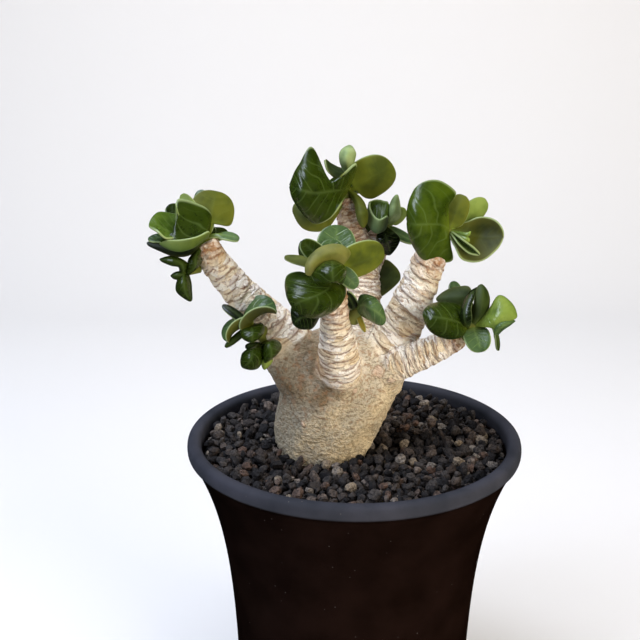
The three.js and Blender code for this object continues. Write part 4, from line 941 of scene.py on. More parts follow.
def arched(root, tip, face, wide, curl, cup, tones="dark olive", stalk=0.1, lobe=0.3, broad=0):
    # A leaf bent along an arc by the angle curl, its halves bent up by the angle cup. Width and cup may be
    # given for either half. The stalk is a share of the length, lobe says how far the blade reaches back
    # beside it, and broad shifts the widest place. The tones are those of the upper and the lower side.
    return {"root": root, "tip": tip, "face": face, "curl": curl, "tones": tones,
            "halves": wide if isinstance(wide, tuple) else (wide / 2, wide / 2),
            "cups": cup if isinstance(cup, tuple) else (cup, cup),
            "stalk": stalk, "lobe": lobe, "broad": broad}


def drawn(root, tip, tones, *stations):
    # A leaf given by stations along it: a point of one margin, of the midrib and of the other margin.
    return {"root": root, "tip": tip, "tones": tones, "stations": stations}


# shoot: the foot and the end of the green tip. Twigs and leaves are measured from that end.
leafHeads = {
    "leaves_left": {
        "shoot": ((-44.4, -6, 161.2), (-43.9, -6.5, 165)),
        "twigs": [((-2.6, -1, -9.7), (-6.5, -5.5, -9.8))],
        "leaves": [
            arched((-0.2, 0.2, -1.5), (2.6, 4.5, 12.5), (-0.1, 1, 0.1), 13.6, 15, 18, stalk=0.36, lobe=0.55),
            arched((-0.2, 0.2, -1.5), (-2.8, 10.5, 11.7), (-0.3, -0.7, 0.5), 7, 20, 15, "blue olive"),
            arched((0, 0, -0.4), (-11.7, 2.5, 8.4), (0.3, -0.75, 0.5), 7.5, 25, 30),
            arched((0, 0, -0.4), (-7.3, 3.5, 11.8), (0.3, 0.8, -0.3), 5.2, 25, 20, "dark light"),
            arched((-0.2, 0.2, -1.5), (-16.3, -6.5, 0.3), (-0.3, -0.4, 0.85), 6, -20, 10, "blue olive"),
            arched((-0.1, 0.1, -0.6), (9.5, -1.5, -0.9), (0.1, -0.4, 0.9), 4.4, -50, 10, "blue light",
                   stalk=0.4),
            arched((0, 0, -1), (-4, 10, 2), (0.1, -0.3, 0.95), 9, 35, 30),
            arched((0.5, 0, -2), (3, 9.5, 0), (0, -0.2, 1), 8, -40, -20),
            arched((0.5, 0, -2.5), (-8, 7, -3), (-0.3, 0.5, 0.8), 7, -40, 20),
            drawn((0, 0, 0), (-12.2, -10.5, 0.6), "dark fresh",
                ((1.2, 1.5, 6.3), (-0.1, -5.5, 0.9), (1.3, -7.5, 3.1)),
                ((-2.7, 0.5, 9.6), (-3.2, -9.5, -0.2), (-1.9, -11.5, 2.4)),
                ((-8.1, -2.5, 11.2), (-7.1, -11.5, -0.6), (-6, -12.5, 1.8)),
                ((-6.9, -6.5, 5), (-10.2, -11.5, -0.2), (-9.8, -12, 1.5))),
            drawn((-0.1, 0.1, -0.8), (-15.5, -9, 5.2), "fresh olive",
                ((-4.2, -4.5, 0.4), (-4.3, -5, -0.1), (-4.4, -5.5, -0.4)),
                ((-7.1, -0.5, 5.5), (-7.5, -5.5, 1.5), (-7.6, -9.5, 1.5)),
                ((-10.4, 0.5, 6.8), (-10.3, -7.5, 2.9), (-10.3, -12.5, 2.2)),
                ((-14.1, -2, 7.3), (-13.3, -8.5, 4.8), (-12.4, -12.5, 4))),
            drawn((-6.6, -5, -10.8), (-13.1, -6.5, -5.6), "dark dark",
                ((-5.4, -5.5, -8.3), (-6.4, -8, -7.9), (-7.5, -6, -9.2)),
                ((-5.5, -6, -6.4), (-6.8, -8.5, -6.2), (-7.8, -7, -7.6)),
                ((-9.5, -5.5, -4.8), (-9.5, -8.5, -5.3), (-10, -7.5, -7))),
            drawn((-0.2, 0.2, -1.5), (-16.7, -6.5, -0.8), "dark deep",
                ((-4.6, -5, -4.5), (-4.1, -6, -2.2), (-4.8, -2.5, -1.5)),
                ((-8.8, -6.5, -4.6), (-8.5, -7.5, -2.1), (-9.3, -3.5, -0.4)),
                ((-12.9, -7, -2.8), (-13, -8, -1.3), (-13.5, -4.5, -0.5))),
            drawn((-5.1, -4.5, -9.4), (-10.1, -5.5, -10.7), "dark deep",
                ((-6.8, -5, -9.3), (-6.6, -7, -9.8), (-6.7, -6, -11.2)),
                ((-8.8, -5.5, -9.6), (-8.5, -7.5, -10), (-8.8, -6, -11.6))),
            drawn((-0.2, 0.2, -1.5), (-5.4, -6, -10.1), "dark olive",
                ((-4.5, -5, -5.1), (-2.7, -6.5, -4.5), (-1.7, -3, -4.3)),
                ((-5.2, -6.5, -7.7), (-3.2, -7.5, -7.2), (-1.5, -3.5, -7.3))),
            drawn((-6.3, -4.5, -9.1), (-4.8, -6, -18), "dark light",
                ((-8.4, -5.5, -11.9), (-6.3, -8.5, -11.1), (-5.2, -4, -11.1)),
                ((-8.7, -6, -15.4), (-5.9, -9, -14.3), (-4.6, -4.5, -14.6))),
        ],
    },
    "leaves_left_low": {
        "shoot": ((-27.8, -13, 137.1), (-31.2, -15, 139.9)),
        "twigs": [((2.8, 1, -1.9), (5.1, 0.5, -8.8))],
        "leaves": [
            arched((0, 0, 0), (7.7, 0, 4.6), (-0.55, -0.25, 0.8), (6.5, 7.5), -110, (95, 35), "blue warm",
                   stalk=0.05, lobe=0.6),
            arched((0, 0, 0), (-6.6, -3, -3.9), (-0.74, -0.2, 0.67), (6, 5.5), -90, (35, 90), "blue warm",
                   stalk=0, lobe=0.5),
            arched((0, 0, 0), (-7.3, -2, -5.8), (0.6, -0.6, 0.5), 2.4, -20, -35, "dark deep"),
            arched((0, 0, 0), (-8.2, 3, 5.5), (0, -0.6, 0.75), 3.2, -30, -20, "deep olive"),
            arched((3.7, 1, -6.2), (-1.5, -1, -6.2), (0, -0.8, 0.5), 2.6, -30, -30, "deep deep"),
            drawn((0, 0, 0), (0.8, -5, -3), "dark olive",
                ((-2.3, -3, 0.3), (0.9, -4.5, 0.5), (3.6, -1, 1.2)),
                ((-2, -5, -1.8), (1, -7, -1), (4.2, -3, -1))),
            drawn((2.5, 0, -5.9), (-2.1, -3.5, -11.5), "dark deep",
                ((-1.8, -1.5, -7.5), (1, -4.5, -6.2), (4.2, -1, -7.1)),
                ((-2.6, -2, -8.9), (0.2, -6.5, -8.6), (2.3, -2.5, -12.2))),
            drawn((3.4, 1, -5.6), (4.7, -3, -10.1), "dark deep",
                ((3.8, -2, -6.4), (5.7, -4.5, -4.1), (7.3, 0, -4.3)),
                ((4, -3, -8.6), (6.3, -5.5, -7.1), (9.1, -1.5, -6))),
            drawn((5.4, 0, -8.7), (4, -2, -12.7), "light dark",
                ((3.4, -1.5, -9.7), (5, -3, -9.8), (6.5, 0, -10.9))),
        ],
    },
    "leaves_back": {
        "shoot": ((-2.4, 12, 172.5), (-1.8, 12, 175.9)),
        "leaves": [
            arched((-0.2, 0, -1), (12.9, -3, 7.9), (-0.1, 0.98, 0.1), 13.5, 15, 15, "dark gold", stalk=0.15,
                   lobe=0.5),
            arched((0, 0, -1), (-2, 10, 2), (0, -0.4, 0.9), 10.5, 40, 30),
            arched((0, 0, -2), (-8, 7, -3), (-0.2, 0.4, 0.9), 9, -45, 15),
            arched((0, 0, -2), (5, 8, -3), (0.2, 0.3, 0.9), 7.5, -40, 20),
            drawn((0, 0, 0), (-17.6, -13, 2.9), "dark olive",
                ((1.8, -11.5, 9.3), (-2.9, -8, 1.1), (-2.7, -12, -2.9)),
                ((-5.6, -10, 3.7), (-6.8, -13, 1.1), (-6.2, -14, -6.9)),
                ((-11.1, -9, 13.8), (-10.7, -16, 1.4), (-11, -14, -8)),
                ((-14.8, -12, 9.6), (-14.4, -17, 2.5), (-15.7, -15, -2.7))),
            drawn((-0.2, 0, -1.4), (-17, -8, -5.9), "dark olive",
                ((-4.9, -6, -9.4), (-5.6, -7, -5.5), (-4.4, -5, -2.8)),
                ((-8.6, -8, -11.9), (-10.4, -9.5, -6.5), (-11.3, -7, -2.4)),
                ((-14, -9, -10.9), (-14, -10, -6.1), (-16.1, -8, -2.8))),
            drawn((-0.1, 0, -0.7), (4.2, -9, -10.4), "dark olive",
                ((3.7, -4, -2.5), (2.4, -6.5, -2.8), (1.5, -4, -3.9)),
                ((5.4, -8.5, -5.6), (3.5, -10, -5.8), (2, -8, -6.5)),
                ((5.4, -8.5, -8.4), (4, -9.5, -8.6), (2.7, -8, -8.9))),
            drawn((0, 0, 0), (-7.4, -5, 9.4), "olive dark",
                ((-1.7, -6, 3.3), (-1.1, -2, 4), (0.3, 2, 5.5)),
                ((-4.4, -7, 4.1), (-3.8, -5, 5.3), (-2.6, 2, 5.8)),
                ((-6.7, -7, 6.4), (-6, -5, 7), (-5.6, -1, 7.7))),
            drawn((0, 0, 0), (0.1, -2, 13.1), "dark pale",
                ((-1.6, -1, 5.4), (-0.4, -3, 5.4), (1.2, 0, 5.5)),
                ((-2.9, -3, 8.9), (-1, -7.5, 9.2), (1.5, -3, 8.8)),
                ((-2.6, -3, 11.8), (-0.7, -7, 12.1), (1.8, -3, 11.2))),
        ],
    },
    "leaves_back_right": {
        "shoot": ((8.4, 15, 161.4), (9.9, 15, 164.3)),
        "leaves": [
            arched((-0.6, 0, -1.1), (6.4, 3, 3.5), (-0.3, 0.9, 0.2), 5.5, 20, 20, "light light", stalk=0.3),
            arched((-0.6, 0, -1.1), (8.9, 0, -6.1), (0, -0.5, 0.85), 5, 20, 20, "blue deep"),
            arched((-0.6, 0, -1.1), (-9.1, -1, -3.3), (0, -0.7, 0.6), 5, -20, 20, "dark deep"),
            arched((0, 0, -1), (1, 9, 2), (0, -0.4, 0.9), 7.5, 35, 30),
            arched((0, 0, -1.5), (-5, 6, -1), (-0.2, 0.3, 0.9), 6, -40, 20),
            drawn((0, 0, 0), (-5.3, -5.5, 7.6), "fresh blue",
                ((0.6, -4, 6.8), (-1.2, -10, 0.3), (-0.3, -11, 4.6)),
                ((-1.2, -3, 7.7), (-3.8, -11, -0.1), (-2.9, -13, 4)),
                ((-3.4, -3, 8), (-5.9, -6.5, 2.6), (-4.9, -9, 5.3))),
            drawn((-0.3, 0, -0.6), (3.1, -2, 9.2), "light pale",
                ((0.4, -3, 2.8), (1.7, -6, 3.8), (4.1, -1, 1.8)),
                ((1.2, -3, 6.8), (2.3, -5, 7), (4.2, -1, 5.6))),
            drawn((-0.6, 0, -1.1), (1, -6, -8.7), "deep deep",
                ((-3.3, -7, -2.6), (-0.4, -8, -3), (2.8, -6, -1.9)),
                ((-2.1, -6, -6.9), (0.6, -7.5, -5.9), (4.1, -5, -4.3))),
        ],
    },
    "leaves_front": {
        "shoot": ((-6.8, -27, 154.5), (-6.5, -27, 160.5)),
        "leaves": [
            arched((0, 0, 0), (13.7, 5, 3.5), (0.1, 0.9, 0.3), 11.4, 20, 20, "dark gold"),
            arched((0, 0, -0.6), (-9.3, 1, 7.4), (0.3, -0.9, 0.3), 6.2, 20, 30),
            arched((0, 0, -0.6), (-14, -2, 3.5), (0, 0.6, -0.8), 3.8, 20, 20),
            arched((0, 0, -0.6), (0.6, 9, 10.2), (0, -0.85, 0.5), 11.5, 30, 20, "blue olive"),
            arched((0, 0, -0.6), (-1.4, 5, 7.1), (0, -0.8, 0.6), 7.5, 30, 20, "blue olive"),
            arched((0, 0, 0), (5.7, -5, -4.4), (0.3, -0.8, 0.4), 5.5, -40, 20, "blue olive"),
            arched((0, 0, -2), (3.5, 8, 0), (0.3, -0.3, 0.9), 7.5, 30, 30),
            drawn((0, 0, -1), (-7.9, -8, 0.5), "dark dusty",
                ((1.6, -2, 0.8), (2.5, -3, 3.3), (4.1, 0, 4)),
                ((-0.6, -4, 2.1), (0.2, -5, 5.5), (1.1, -1, 6.9)),
                ((-3.1, -5, 1.3), (-3.6, -7, 5.1), (-3.6, -3, 6.8)),
                ((-5.5, -7, -0.2), (-6.6, -9, 3.1), (-7.3, -6, 4.2))),
            drawn((0, 0, -0.3), (-9.4, 2.5, 7.1), "deep deep",
                ((-5.3, 1.5, 1.2), (-5.3, 1, 0.7), (-5.3, 1.5, 0)),
                ((-7.9, 1.5, 3.5), (-8.7, 0.7, 3), (-9.3, 1.5, 2.2)),
                ((-8.6, 2, 5.3), (-9.5, 1.2, 5.1), (-10.1, 2, 4.9))),
            drawn((-0.1, 0, -2.4), (-0.9, -6, 3.5), "dark olive",
                ((1.7, -7, -2.7), (-0.7, -11, -0.8), (-3.9, -8, -2.4)),
                ((2.9, -6.5, 0.5), (-1, -11.5, 2.4), (-6.6, -8, 0)),
                ((1.8, -5, 2.1), (-0.9, -9, 3.3), (-4.2, -7, 2.6))),
            drawn((-0.1, 0, -2.4), (-11, -7.5, -9.9), "dark olive",
                ((-5.8, -2, -2), (-2, -6, -4.4), (2.9, -2, -5.5)),
                ((-10.3, 0, -1), (-4.7, -9.5, -5.1), (1.5, -4, -9.2)),
                ((-13.6, -1, -2.3), (-7.7, -11, -5.8), (-2.5, -6, -11.9)),
                ((-13.2, -6, -6.1), (-10.4, -10, -7.2), (-7.4, -7, -12.2))),
            drawn((-0.1, 0, -2.4), (-11.4, -3, -15.3), "deep deep",
                ((-9.7, -1, -10.1), (-6.9, -4, -11.8), (-5, -2, -15)),
                ((-12.2, -2, -10.7), (-9.7, -5, -13), (-8.1, -3.5, -16.8))),
        ],
    },
    "leaves_front_side": {
        "shoot": ((-1.6, -23, 144.8), (0, -25, 147.5)),
        "leaves": [
            arched((-0.3, 0.4, -0.5), (-3.2, -2, 6.1), (-0.2, -0.9, 0.3), 3.6, 20, 30, "deep deep"),
            arched((-0.3, 0.4, -0.5), (2, -2, -5.6), (0, -0.9, 0.3), 1.8, 20, 30, "yellow yellow"),
            drawn((-0.1, 0.1, -0.2), (7.3, -4, -2), "blue olive",
                ((0.3, 0, -0.9), (1.3, -3, 2.6), (0.7, 0.5, 4.4)),
                ((3, -2, -2), (3.6, -6, 2.4), (4.3, -1, 4.5)),
                ((5.5, -3.5, -3), (5.9, -5.5, 0.5), (6.6, -3, 2.1))),
        ],
    },
    "leaf_back_low": {
        "shoot": ((5.7, 12, 146), (7.7, 14, 146.1)),
        "leaves": [
            drawn((-0.8, -0.8, 0), (6.9, 0, 0.3), "dark moss",
                ((1.8, 0, 6.6), (0.8, -2, 0.9), (-0.3, -1.5, -5.3)),
                ((5.8, 0.5, 4), (4, -1.5, 0.7), (3.1, -1.5, -3.5))),
        ],
    },
    "leaves_right": {
        "shoot": ((23.2, -4, 159.5), (27.3, -5, 166.4)),
        "leaves": [
            arched((0, 0, 0), (4.1, 2, 10.1), (0.3, 0.9, 0.2), 7.4, 20, 25),
            arched((0, 0, 0), (11.9, 8, 7.1), (0.3, 0.9, 0.2), 7, 20, 20, "dark light", stalk=0.3),
            arched((0, 0, -1), (2, 10, 3), (0, -0.4, 0.9), 10, 35, 30),
            arched((-1, 0, -2), (-6, 8, 1), (-0.2, -0.2, 0.9), 9, -40, 20),
            arched((0, 0, -2), (8, 7, -4), (0.2, 0.4, 0.9), 7.5, -40, 20),
            drawn((0, 0, 0), (-12.7, -4, 3.5), "mid olive",
                ((-0.3, 0, 7.5), (-3.1, -4, 2.4), (0.4, -1.5, -3.9)),
                ((1.8, 1, 11.1), (-6, -6, 3.1), (1.3, 0, -9.2)),
                ((-4, 0, 15), (-8.1, -7, 3.3), (-4, -2, -9.3)),
                ((-10.4, -2, 12.8), (-10.7, -7, 3.3), (-9.3, -4, -6.4))),
            drawn((0, 0, 0), (15.8, -2, -1.7), "dark warm",
                ((5.6, 1, 2.5), (5.4, 0, -1.5), (1.5, -4, -4.6)),
                ((9.3, 0.5, 4), (8.8, 1, -2.3), (3.8, -5, -8)),
                ((13, -0.5, 3.4), (12.2, 0, -2.4), (9.2, -4.5, -8.4)),
                ((15.3, -1.5, 1.2), (14.4, -1, -1.9), (13.6, -3.5, -5.2))),
            drawn((0, 0, 0), (8.5, -6, -6), "moss olive",
                ((1.4, -5, -1.9), (2.4, -3.5, -1.8), (2.7, -6, -0.9)),
                ((3.2, -6, -4), (4.6, -4, -3.7), (4.9, -7, -2.4)),
                ((5.6, -6.5, -5.6), (6.6, -5, -5.2), (7, -7, -3.9))),
            drawn((0, 0, 0), (5.9, -4.5, 0.6), "light light",
                ((4.5, -4.5, -0.9), (4.4, -4.8, -0.3), (4.2, -4, 0.1))),
            drawn((0, 0, 0), (5.4, -4.5, -2.3), "light light",
                ((4.1, -4.2, -2.4), (4.3, -5, -1.4), (4.8, -4, -1.1))),
        ],
    },
    "leaves_right_low": {
        "shoot": ((30.3, -14, 137.1), (34.4, -15, 140.2)),
        "leaves": [
            arched((-0.4, 0.1, -0.3), (1.3, -7, -6), (0, -0.75, 0.65), 8.2, -20, 25, "blue olive"),
            arched((-1.7, 0.4, -1.2), (-5.6, 9, 10.9), (0, -0.8, 0.5), 4.5, 20, 20, "blue olive", stalk=0.4),
            arched((5.1, -4.2, 1.6), (7.1, -1.5, -7.2), (0.4, -0.8, 0.3), 1.8, -20, 20, "dark dark",
                   broad=-0.6),
            arched((0, 0, -1), (-3, 8.5, 3), (0, -0.4, 0.9), 8.5, 35, 30),
            arched((0, 0, -1.5), (5, 7.5, -1), (0.2, 0.2, 0.9), 7, -40, 20),
            drawn((-1.7, 0.4, -1.2), (-15.6, -6, 5.2), "dark olive",
                ((-3.7, 2, 4.9), (-5, -4, 1.9), (-3.5, -3, -2.7)),
                ((-8.3, 1, 6.7), (-9.2, -7.5, 4.1), (-8.5, -6, -2.4)),
                ((-13, -2, 6.8), (-13.2, -8, 4.9), (-13.3, -7, 0.2))),
            drawn((-0.6, 0.1, -0.4), (-10.5, 5.5, 6.3), "dark moss",
                ((-0.2, 2.5, 6), (-2.1, 2, 7.3), (-0.6, 4, 9.7)),
                ((-4.5, 3, 4.6), (-5, 2, 8), (-4.3, 6, 10)),
                ((-8.2, 4, 5.2), (-8.3, 3, 7.5), (-8.1, 6, 8.7))),
            drawn((-1.7, 0.4, -1.2), (0.7, 2, 10.8), "deep olive",
                ((-1.4, -5, 2.8), (-3.2, -5, 2.8), (-4.1, -2, 1.5)),
                ((-1.6, -4.5, 6.5), (-3.1, -4, 6.4), (-3.9, -1.5, 5.9)),
                ((-0.4, -2, 9.1), (-1.5, -1.5, 9.3), (-2.3, 0.5, 9))),
            drawn((-0.1, 0, 0), (1.7, 1, 11.9), "dark moss",
                ((-0.5, -0.5, 3.2), (1, -2, 3.7), (3.6, 1.5, 2)),
                ((-0.2, -0.5, 7.8), (1.5, -2.5, 8), (4.5, 1.5, 6.9)),
                ((0.5, 0.5, 10.9), (1.7, -1.5, 10.8), (3.6, 2, 10.1))),
            drawn((0, 0, 0), (11.8, -3, 3.4), "light dark",
                ((3.8, -4, 0.5), (4, -3.5, 2.9), (4.2, 0, 4.7)),
                ((6.2, -5, 0.3), (6.6, -4.5, 5.3), (7.1, 1, 8.8)),
                ((8.7, -5, 2.3), (9.3, -4, 5.3), (10.4, -0.5, 7))),
            drawn((5.8, -2, -3), (11.3, -3.5, 2.5), "blue dark",
                ((6.9, -3, -1.8), (5.9, -5.5, 0.1), (5.4, -5, 0.3)),
                ((8.8, -3.5, 0.3), (7.6, -6.5, 2), (7.2, -5.5, 2.5))),
        ],
    },
}


def bladeGrid(rows, columns):
    # Places along a leaf, closer at its ends, and across it from -1 to 1, closer at its margins.
    share = (1 - np.cos(math.pi * np.linspace(0, 1, rows))) / 2
    across = np.linspace(-1, 1, columns)
    return share, np.sin(across * math.pi / 2) * 0.45 + across * 0.55


def archedSurface(origin, fields, rows, columns):
    # The middle surface of a leaf. The midrib is an arc of a circle from the root to the tip, and at each
    # place along it either half is an arc of its own, bent up from the midrib to the margin.
    stalk, broad, halves = (fields[name] for name in ("stalk", "broad", "halves"))
    leftCup, rightCup = (math.radians(angle) for angle in fields["cups"])
    root = origin + fields["root"]
    reach = origin + fields["tip"] - root
    ahead = unit(reach)
    face = np.array(fields["face"], float)
    up = unit(face - ahead * (face @ ahead))
    side = np.cross(up, ahead)
    bend = math.radians(fields["curl"])
    arcRadius = np.linalg.norm(reach) / (2 * math.sin(bend / 2))
    length = arcRadius * bend
    share, across = np.meshgrid(*bladeGrid(rows, columns), indexing="ij")
    blade = np.clip((share - stalk) / (1 - stalk), 0, 1)
    place = blade + broad * blade * (1 - blade)
    square = leafRules["square"]
    full = np.maximum(1 - np.abs(2 * place - 1) ** square, 0) ** (1 / square)
    half = np.where(across < 0, *halves)
    neck = leafRules["neck"] / 2 * np.clip(2 - 4 * blade, 0, 1)
    width = np.maximum(np.maximum(full * half, neck), leafRules["least"] / 2)
    setBack = fields["lobe"] * sum(halves) / 2 / length
    along = np.maximum(share - setBack * across ** 2 * np.sin(math.pi * blade) * (1 - blade), 0)
    turn = (bend * (along - 0.5))[..., None]
    middle = (root + ahead * arcRadius * (np.sin(turn) + math.sin(bend / 2))
              + up * arcRadius * (math.cos(bend / 2) - np.cos(turn)))
    normal = up * np.cos(turn) - ahead * np.sin(turn)
    bow = half / np.where(across < 0, leftCup, rightCup)
    swing = width * np.abs(across) / bow
    points = (middle + side * (np.sign(across) * bow * np.sin(swing))[..., None]
              + normal * (bow * (1 - np.cos(swing)))[..., None])
    normals = normal * np.cos(swing)[..., None] - side * (np.sign(across) * np.sin(swing))[..., None]
    return points, normals, share, across, width * across, blade, length


def drawnSurface(origin, fields, rows, columns):
    # Both margins are one smooth loop through root and tip. Across the leaf the blade is the parabola through
    # the three lines: middle + across * (right - left) / 2 + across ** 2 * ((right + left) / 2 - middle).
    root = origin + fields["root"]
    tip = origin + fields["tip"]
    left, middle, right = (origin + np.array(line) for line in zip(*fields["stations"]))
    count = len(middle) + 1
    share, spread = bladeGrid(rows, columns)
    share = 0.01 + 0.98 * share     # the very ends stay open, and the poles close them
    loop = np.vstack([root, left, tip, right[::-1]])
    left = splinePoints(loop, share * count, True)[:, None]
    right = splinePoints(loop, (2 - share) * count, True)[:, None]
    middle = splinePoints(np.vstack([root, middle, tip]), share * count, False)[:, None]
    share, across = np.meshgrid(share, spread, indexing="ij")
    points = middle + across[..., None] * (right - left) / 2
    points = points + across[..., None] ** 2 * ((right + left) / 2 - middle)
    normals = unit(np.cross(np.gradient(points, axis=0), np.gradient(points, axis=1)))
    leftHalf = np.linalg.norm(left - middle, axis=-1)
    half = np.where(across < 0, leftHalf, np.linalg.norm(right - middle, axis=-1))
    length = np.linalg.norm(np.diff(middle[:, 0], axis=0), axis=1).sum()
    return points, normals, share, across, half * across, share, length


def leafSize(fields):
    # About the length and the greatest width of a leaf.
    if "stations" not in fields:
        straight = np.linalg.norm(np.array(fields["tip"]) - fields["root"])
        return straight * (1 + abs(fields["curl"]) / 200), sum(fields["halves"])
    left, middle, right = (np.array(line) for line in zip(*fields["stations"]))
    line = np.vstack([fields["root"], middle, fields["tip"]])
    wide = np.linalg.norm(left - middle, axis=1) + np.linalg.norm(right - middle, axis=1)
    return np.linalg.norm(np.diff(line, axis=0), axis=1).sum(), wide.max()


def buildLeaf(origin, fields, seed):
    # A leaf as a closed skin: a loop over the upper side and back under the lower one for each row. Side
    # veins leave the midrib by turns, and the blade swells between them.
    reach, total = leafSize(fields)
    rows = int(np.clip(reach * 1.2 / leafRules["spacing"], *leafRules["rows"]))
    columns = int(np.clip(total * 1.1 / leafRules["spacing"], *leafRules["columns"])) // 2 * 2 + 1
    surface = drawnSurface if "stations" in fields else archedSurface
    points, normals, share, across, sideways, blade, length = surface(origin, fields, rows, columns)
    along = share * length
    spacing = leafRules["veinSpacing"] * np.clip(total / 12, 0.6, 1.6)
    stagger = np.where(across > 0, 0.5, 0.0)
    start = along - leafRules["veinSlant"] * np.abs(sideways) - leafRules["veinCurve"] * sideways ** 2
    phase = start / spacing + stagger + 0.37 * seed
    wander, wanderSize = leafRules["veinWander"]
    phase = phase + wander * latticeNoise(np.stack([along, sideways], axis=-1), wanderSize, seed + 3)
    offVein = np.abs(phase - np.round(phase)) * spacing * 0.85
    inside = 1 - smoothstep(0.62, 0.96, np.abs(across))
    grown = smoothstep(0.02, 0.2, blade) * (1 - smoothstep(0.86, 1.0, blade))
    midrib = np.exp(-(sideways / leafRules["midrib"]) ** 2) * (1 - smoothstep(0.75, 1.0, blade))
    veined = inside * grown * smoothstep(2.5, 7, total)
    swell = 1 - np.exp(-(offVein / leafRules["groove"]) ** 2)
    swell = swell * (1 - np.exp(-(sideways / leafRules["midGroove"]) ** 2)) * inside * grown
    swell = leafRules["bulge"] * swell * smoothstep(3, 9, total)
    flatPlace = np.stack([along, sideways, np.full_like(along, seed * 9.7)], axis=-1)
    wave, waveSize = leafRules["wave"]
    swell = swell + wave * latticeNoise(flatPlace, waveSize, seed) * smoothstep(0.1, 0.4, blade)
    power = np.clip(total, 3, 30) / leafRules["thickness"]
    thick = leafRules["thickness"] / 2 * (1 - np.abs(across) ** power) ** 0.5
    swollen = leafRules["stalkThickness"] / 2 - leafRules["thickness"] / 2
    thick = thick + (1 - smoothstep(0.0, 0.12, blade)) * (1 - across ** 2) * swollen
    tipped = np.sqrt(np.clip((1 - share) / 0.012, 0, 1))
    rib = leafRules["rib"] * midrib * (1 - share)
    upper = points + normals * (thick * tipped + swell)[..., None]
    lower = points - normals * ((thick + rib) * tipped - 0.4 * swell)[..., None]
    middle = columns // 2

    def looped(values, under=None):
        under = values if under is None else under
        flat = np.concatenate([values, under[:, -2:0:-1]], axis=1).ravel()
        return np.concatenate([flat, [values[0, middle], values[-1, middle]]])

    pale = leafRules["paleVeins"] if fields["tones"].startswith("blue") else 1
    loop = np.concatenate([upper, lower[:, -2:0:-1]], axis=1)
    return {
        "shape": closedTube(loop, points[0, middle], points[-1, middle]), "tones": fields["tones"],
        "phase": looped(phase), "veined": looped(veined * pale), "midrib": looped(midrib * pale),
        "under": looped(np.zeros_like(share), np.ones_like(share)),
        "middle": looped(1 - np.abs(across) ** 1.5),
        "margin": looped(np.abs(across) ** np.minimum(power, 14)),
        "foot": looped(1 - smoothstep(0.0, 0.25, blade)), "across": looped(sideways), "along": looped(along),
    }


def buildShoot(foot, end, broad, slim):
    # The green tip of the branch, or a twig: a tapering stem with a rounded end.
    length = np.linalg.norm(end - foot)
    ahead = unit(end - foot)
    right = unit(np.cross([0, 1.0, 0], ahead))
    share = np.linspace(0, 1, 12)
    dome = np.linspace(0.3, 1.45, 5)
    radius = np.concatenate([broad + (slim - broad) * share, slim * np.cos(dome)])
    rise = np.concatenate([share * length, length + slim * 0.7 * np.sin(dome)])
    rings = tubeRings(foot + ahead * rise[:, None], radius, right, np.cross(ahead, right), 20)
    shape = closedTube(rings, foot, foot + ahead * (rise[-1] + 0.1))
    blank = np.zeros(len(shape[0]))
    return {
        "shape": shape, "tones": "brown brown", "phase": blank, "veined": blank, "midrib": blank,
        "middle": blank, "under": blank + 1, "margin": blank, "foot": blank + 1, "across": blank,
        "along": np.concatenate([np.repeat(rise, rings.shape[1]), [0, rise[-1]]]),
    }


def buildHead(name, head):
    # The shoot, its twigs and its leaves in one mesh. Their colours and what their material reads are stored
    # at the points, and a flat map of each blade, in units of 100 mm, at the corners.
    origin = np.array(head["shoot"][1], float)
    parts = [buildShoot(np.array(head["shoot"][0]), origin, *leafRules["shoot"])]
    parts += [buildShoot(*(origin + np.array(twig)), *leafRules["twig"]) for twig in head.get("twigs", ())]
    parts += [buildLeaf(origin, fields, number + 1) for number, fields in enumerate(head["leaves"])]
    mesh = buildMesh(name, *joinShapes([part["shape"] for part in parts]))
    for field in ("phase", "veined", "midrib", "middle", "under", "margin", "foot"):
        addAttribute(mesh, field, np.concatenate([part[field] for part in parts]))
    colours = []
    for part in parts:
        share = part["under"][:, None]
        upper, under = (np.array(srgb(leafTones[tone])) for tone in part["tones"].split())
        colours.append(upper * (1 - share) + under * share)
    addAttribute(mesh, "leafColour", np.vstack(colours), "FLOAT_COLOR", "color")
    corners = readRows(mesh.loops, "vertex_index", 1, np.int32).ravel()
    onBlade = np.stack([np.concatenate([part["along"] + 31 * k for k, part in enumerate(parts)]),
                        np.concatenate([part["across"] for part in parts])], axis=1) / 100
    mesh.uv_layers.new(name="blade").data.foreach_set("uv", flatValues(onBlade[corners]))
    return mesh


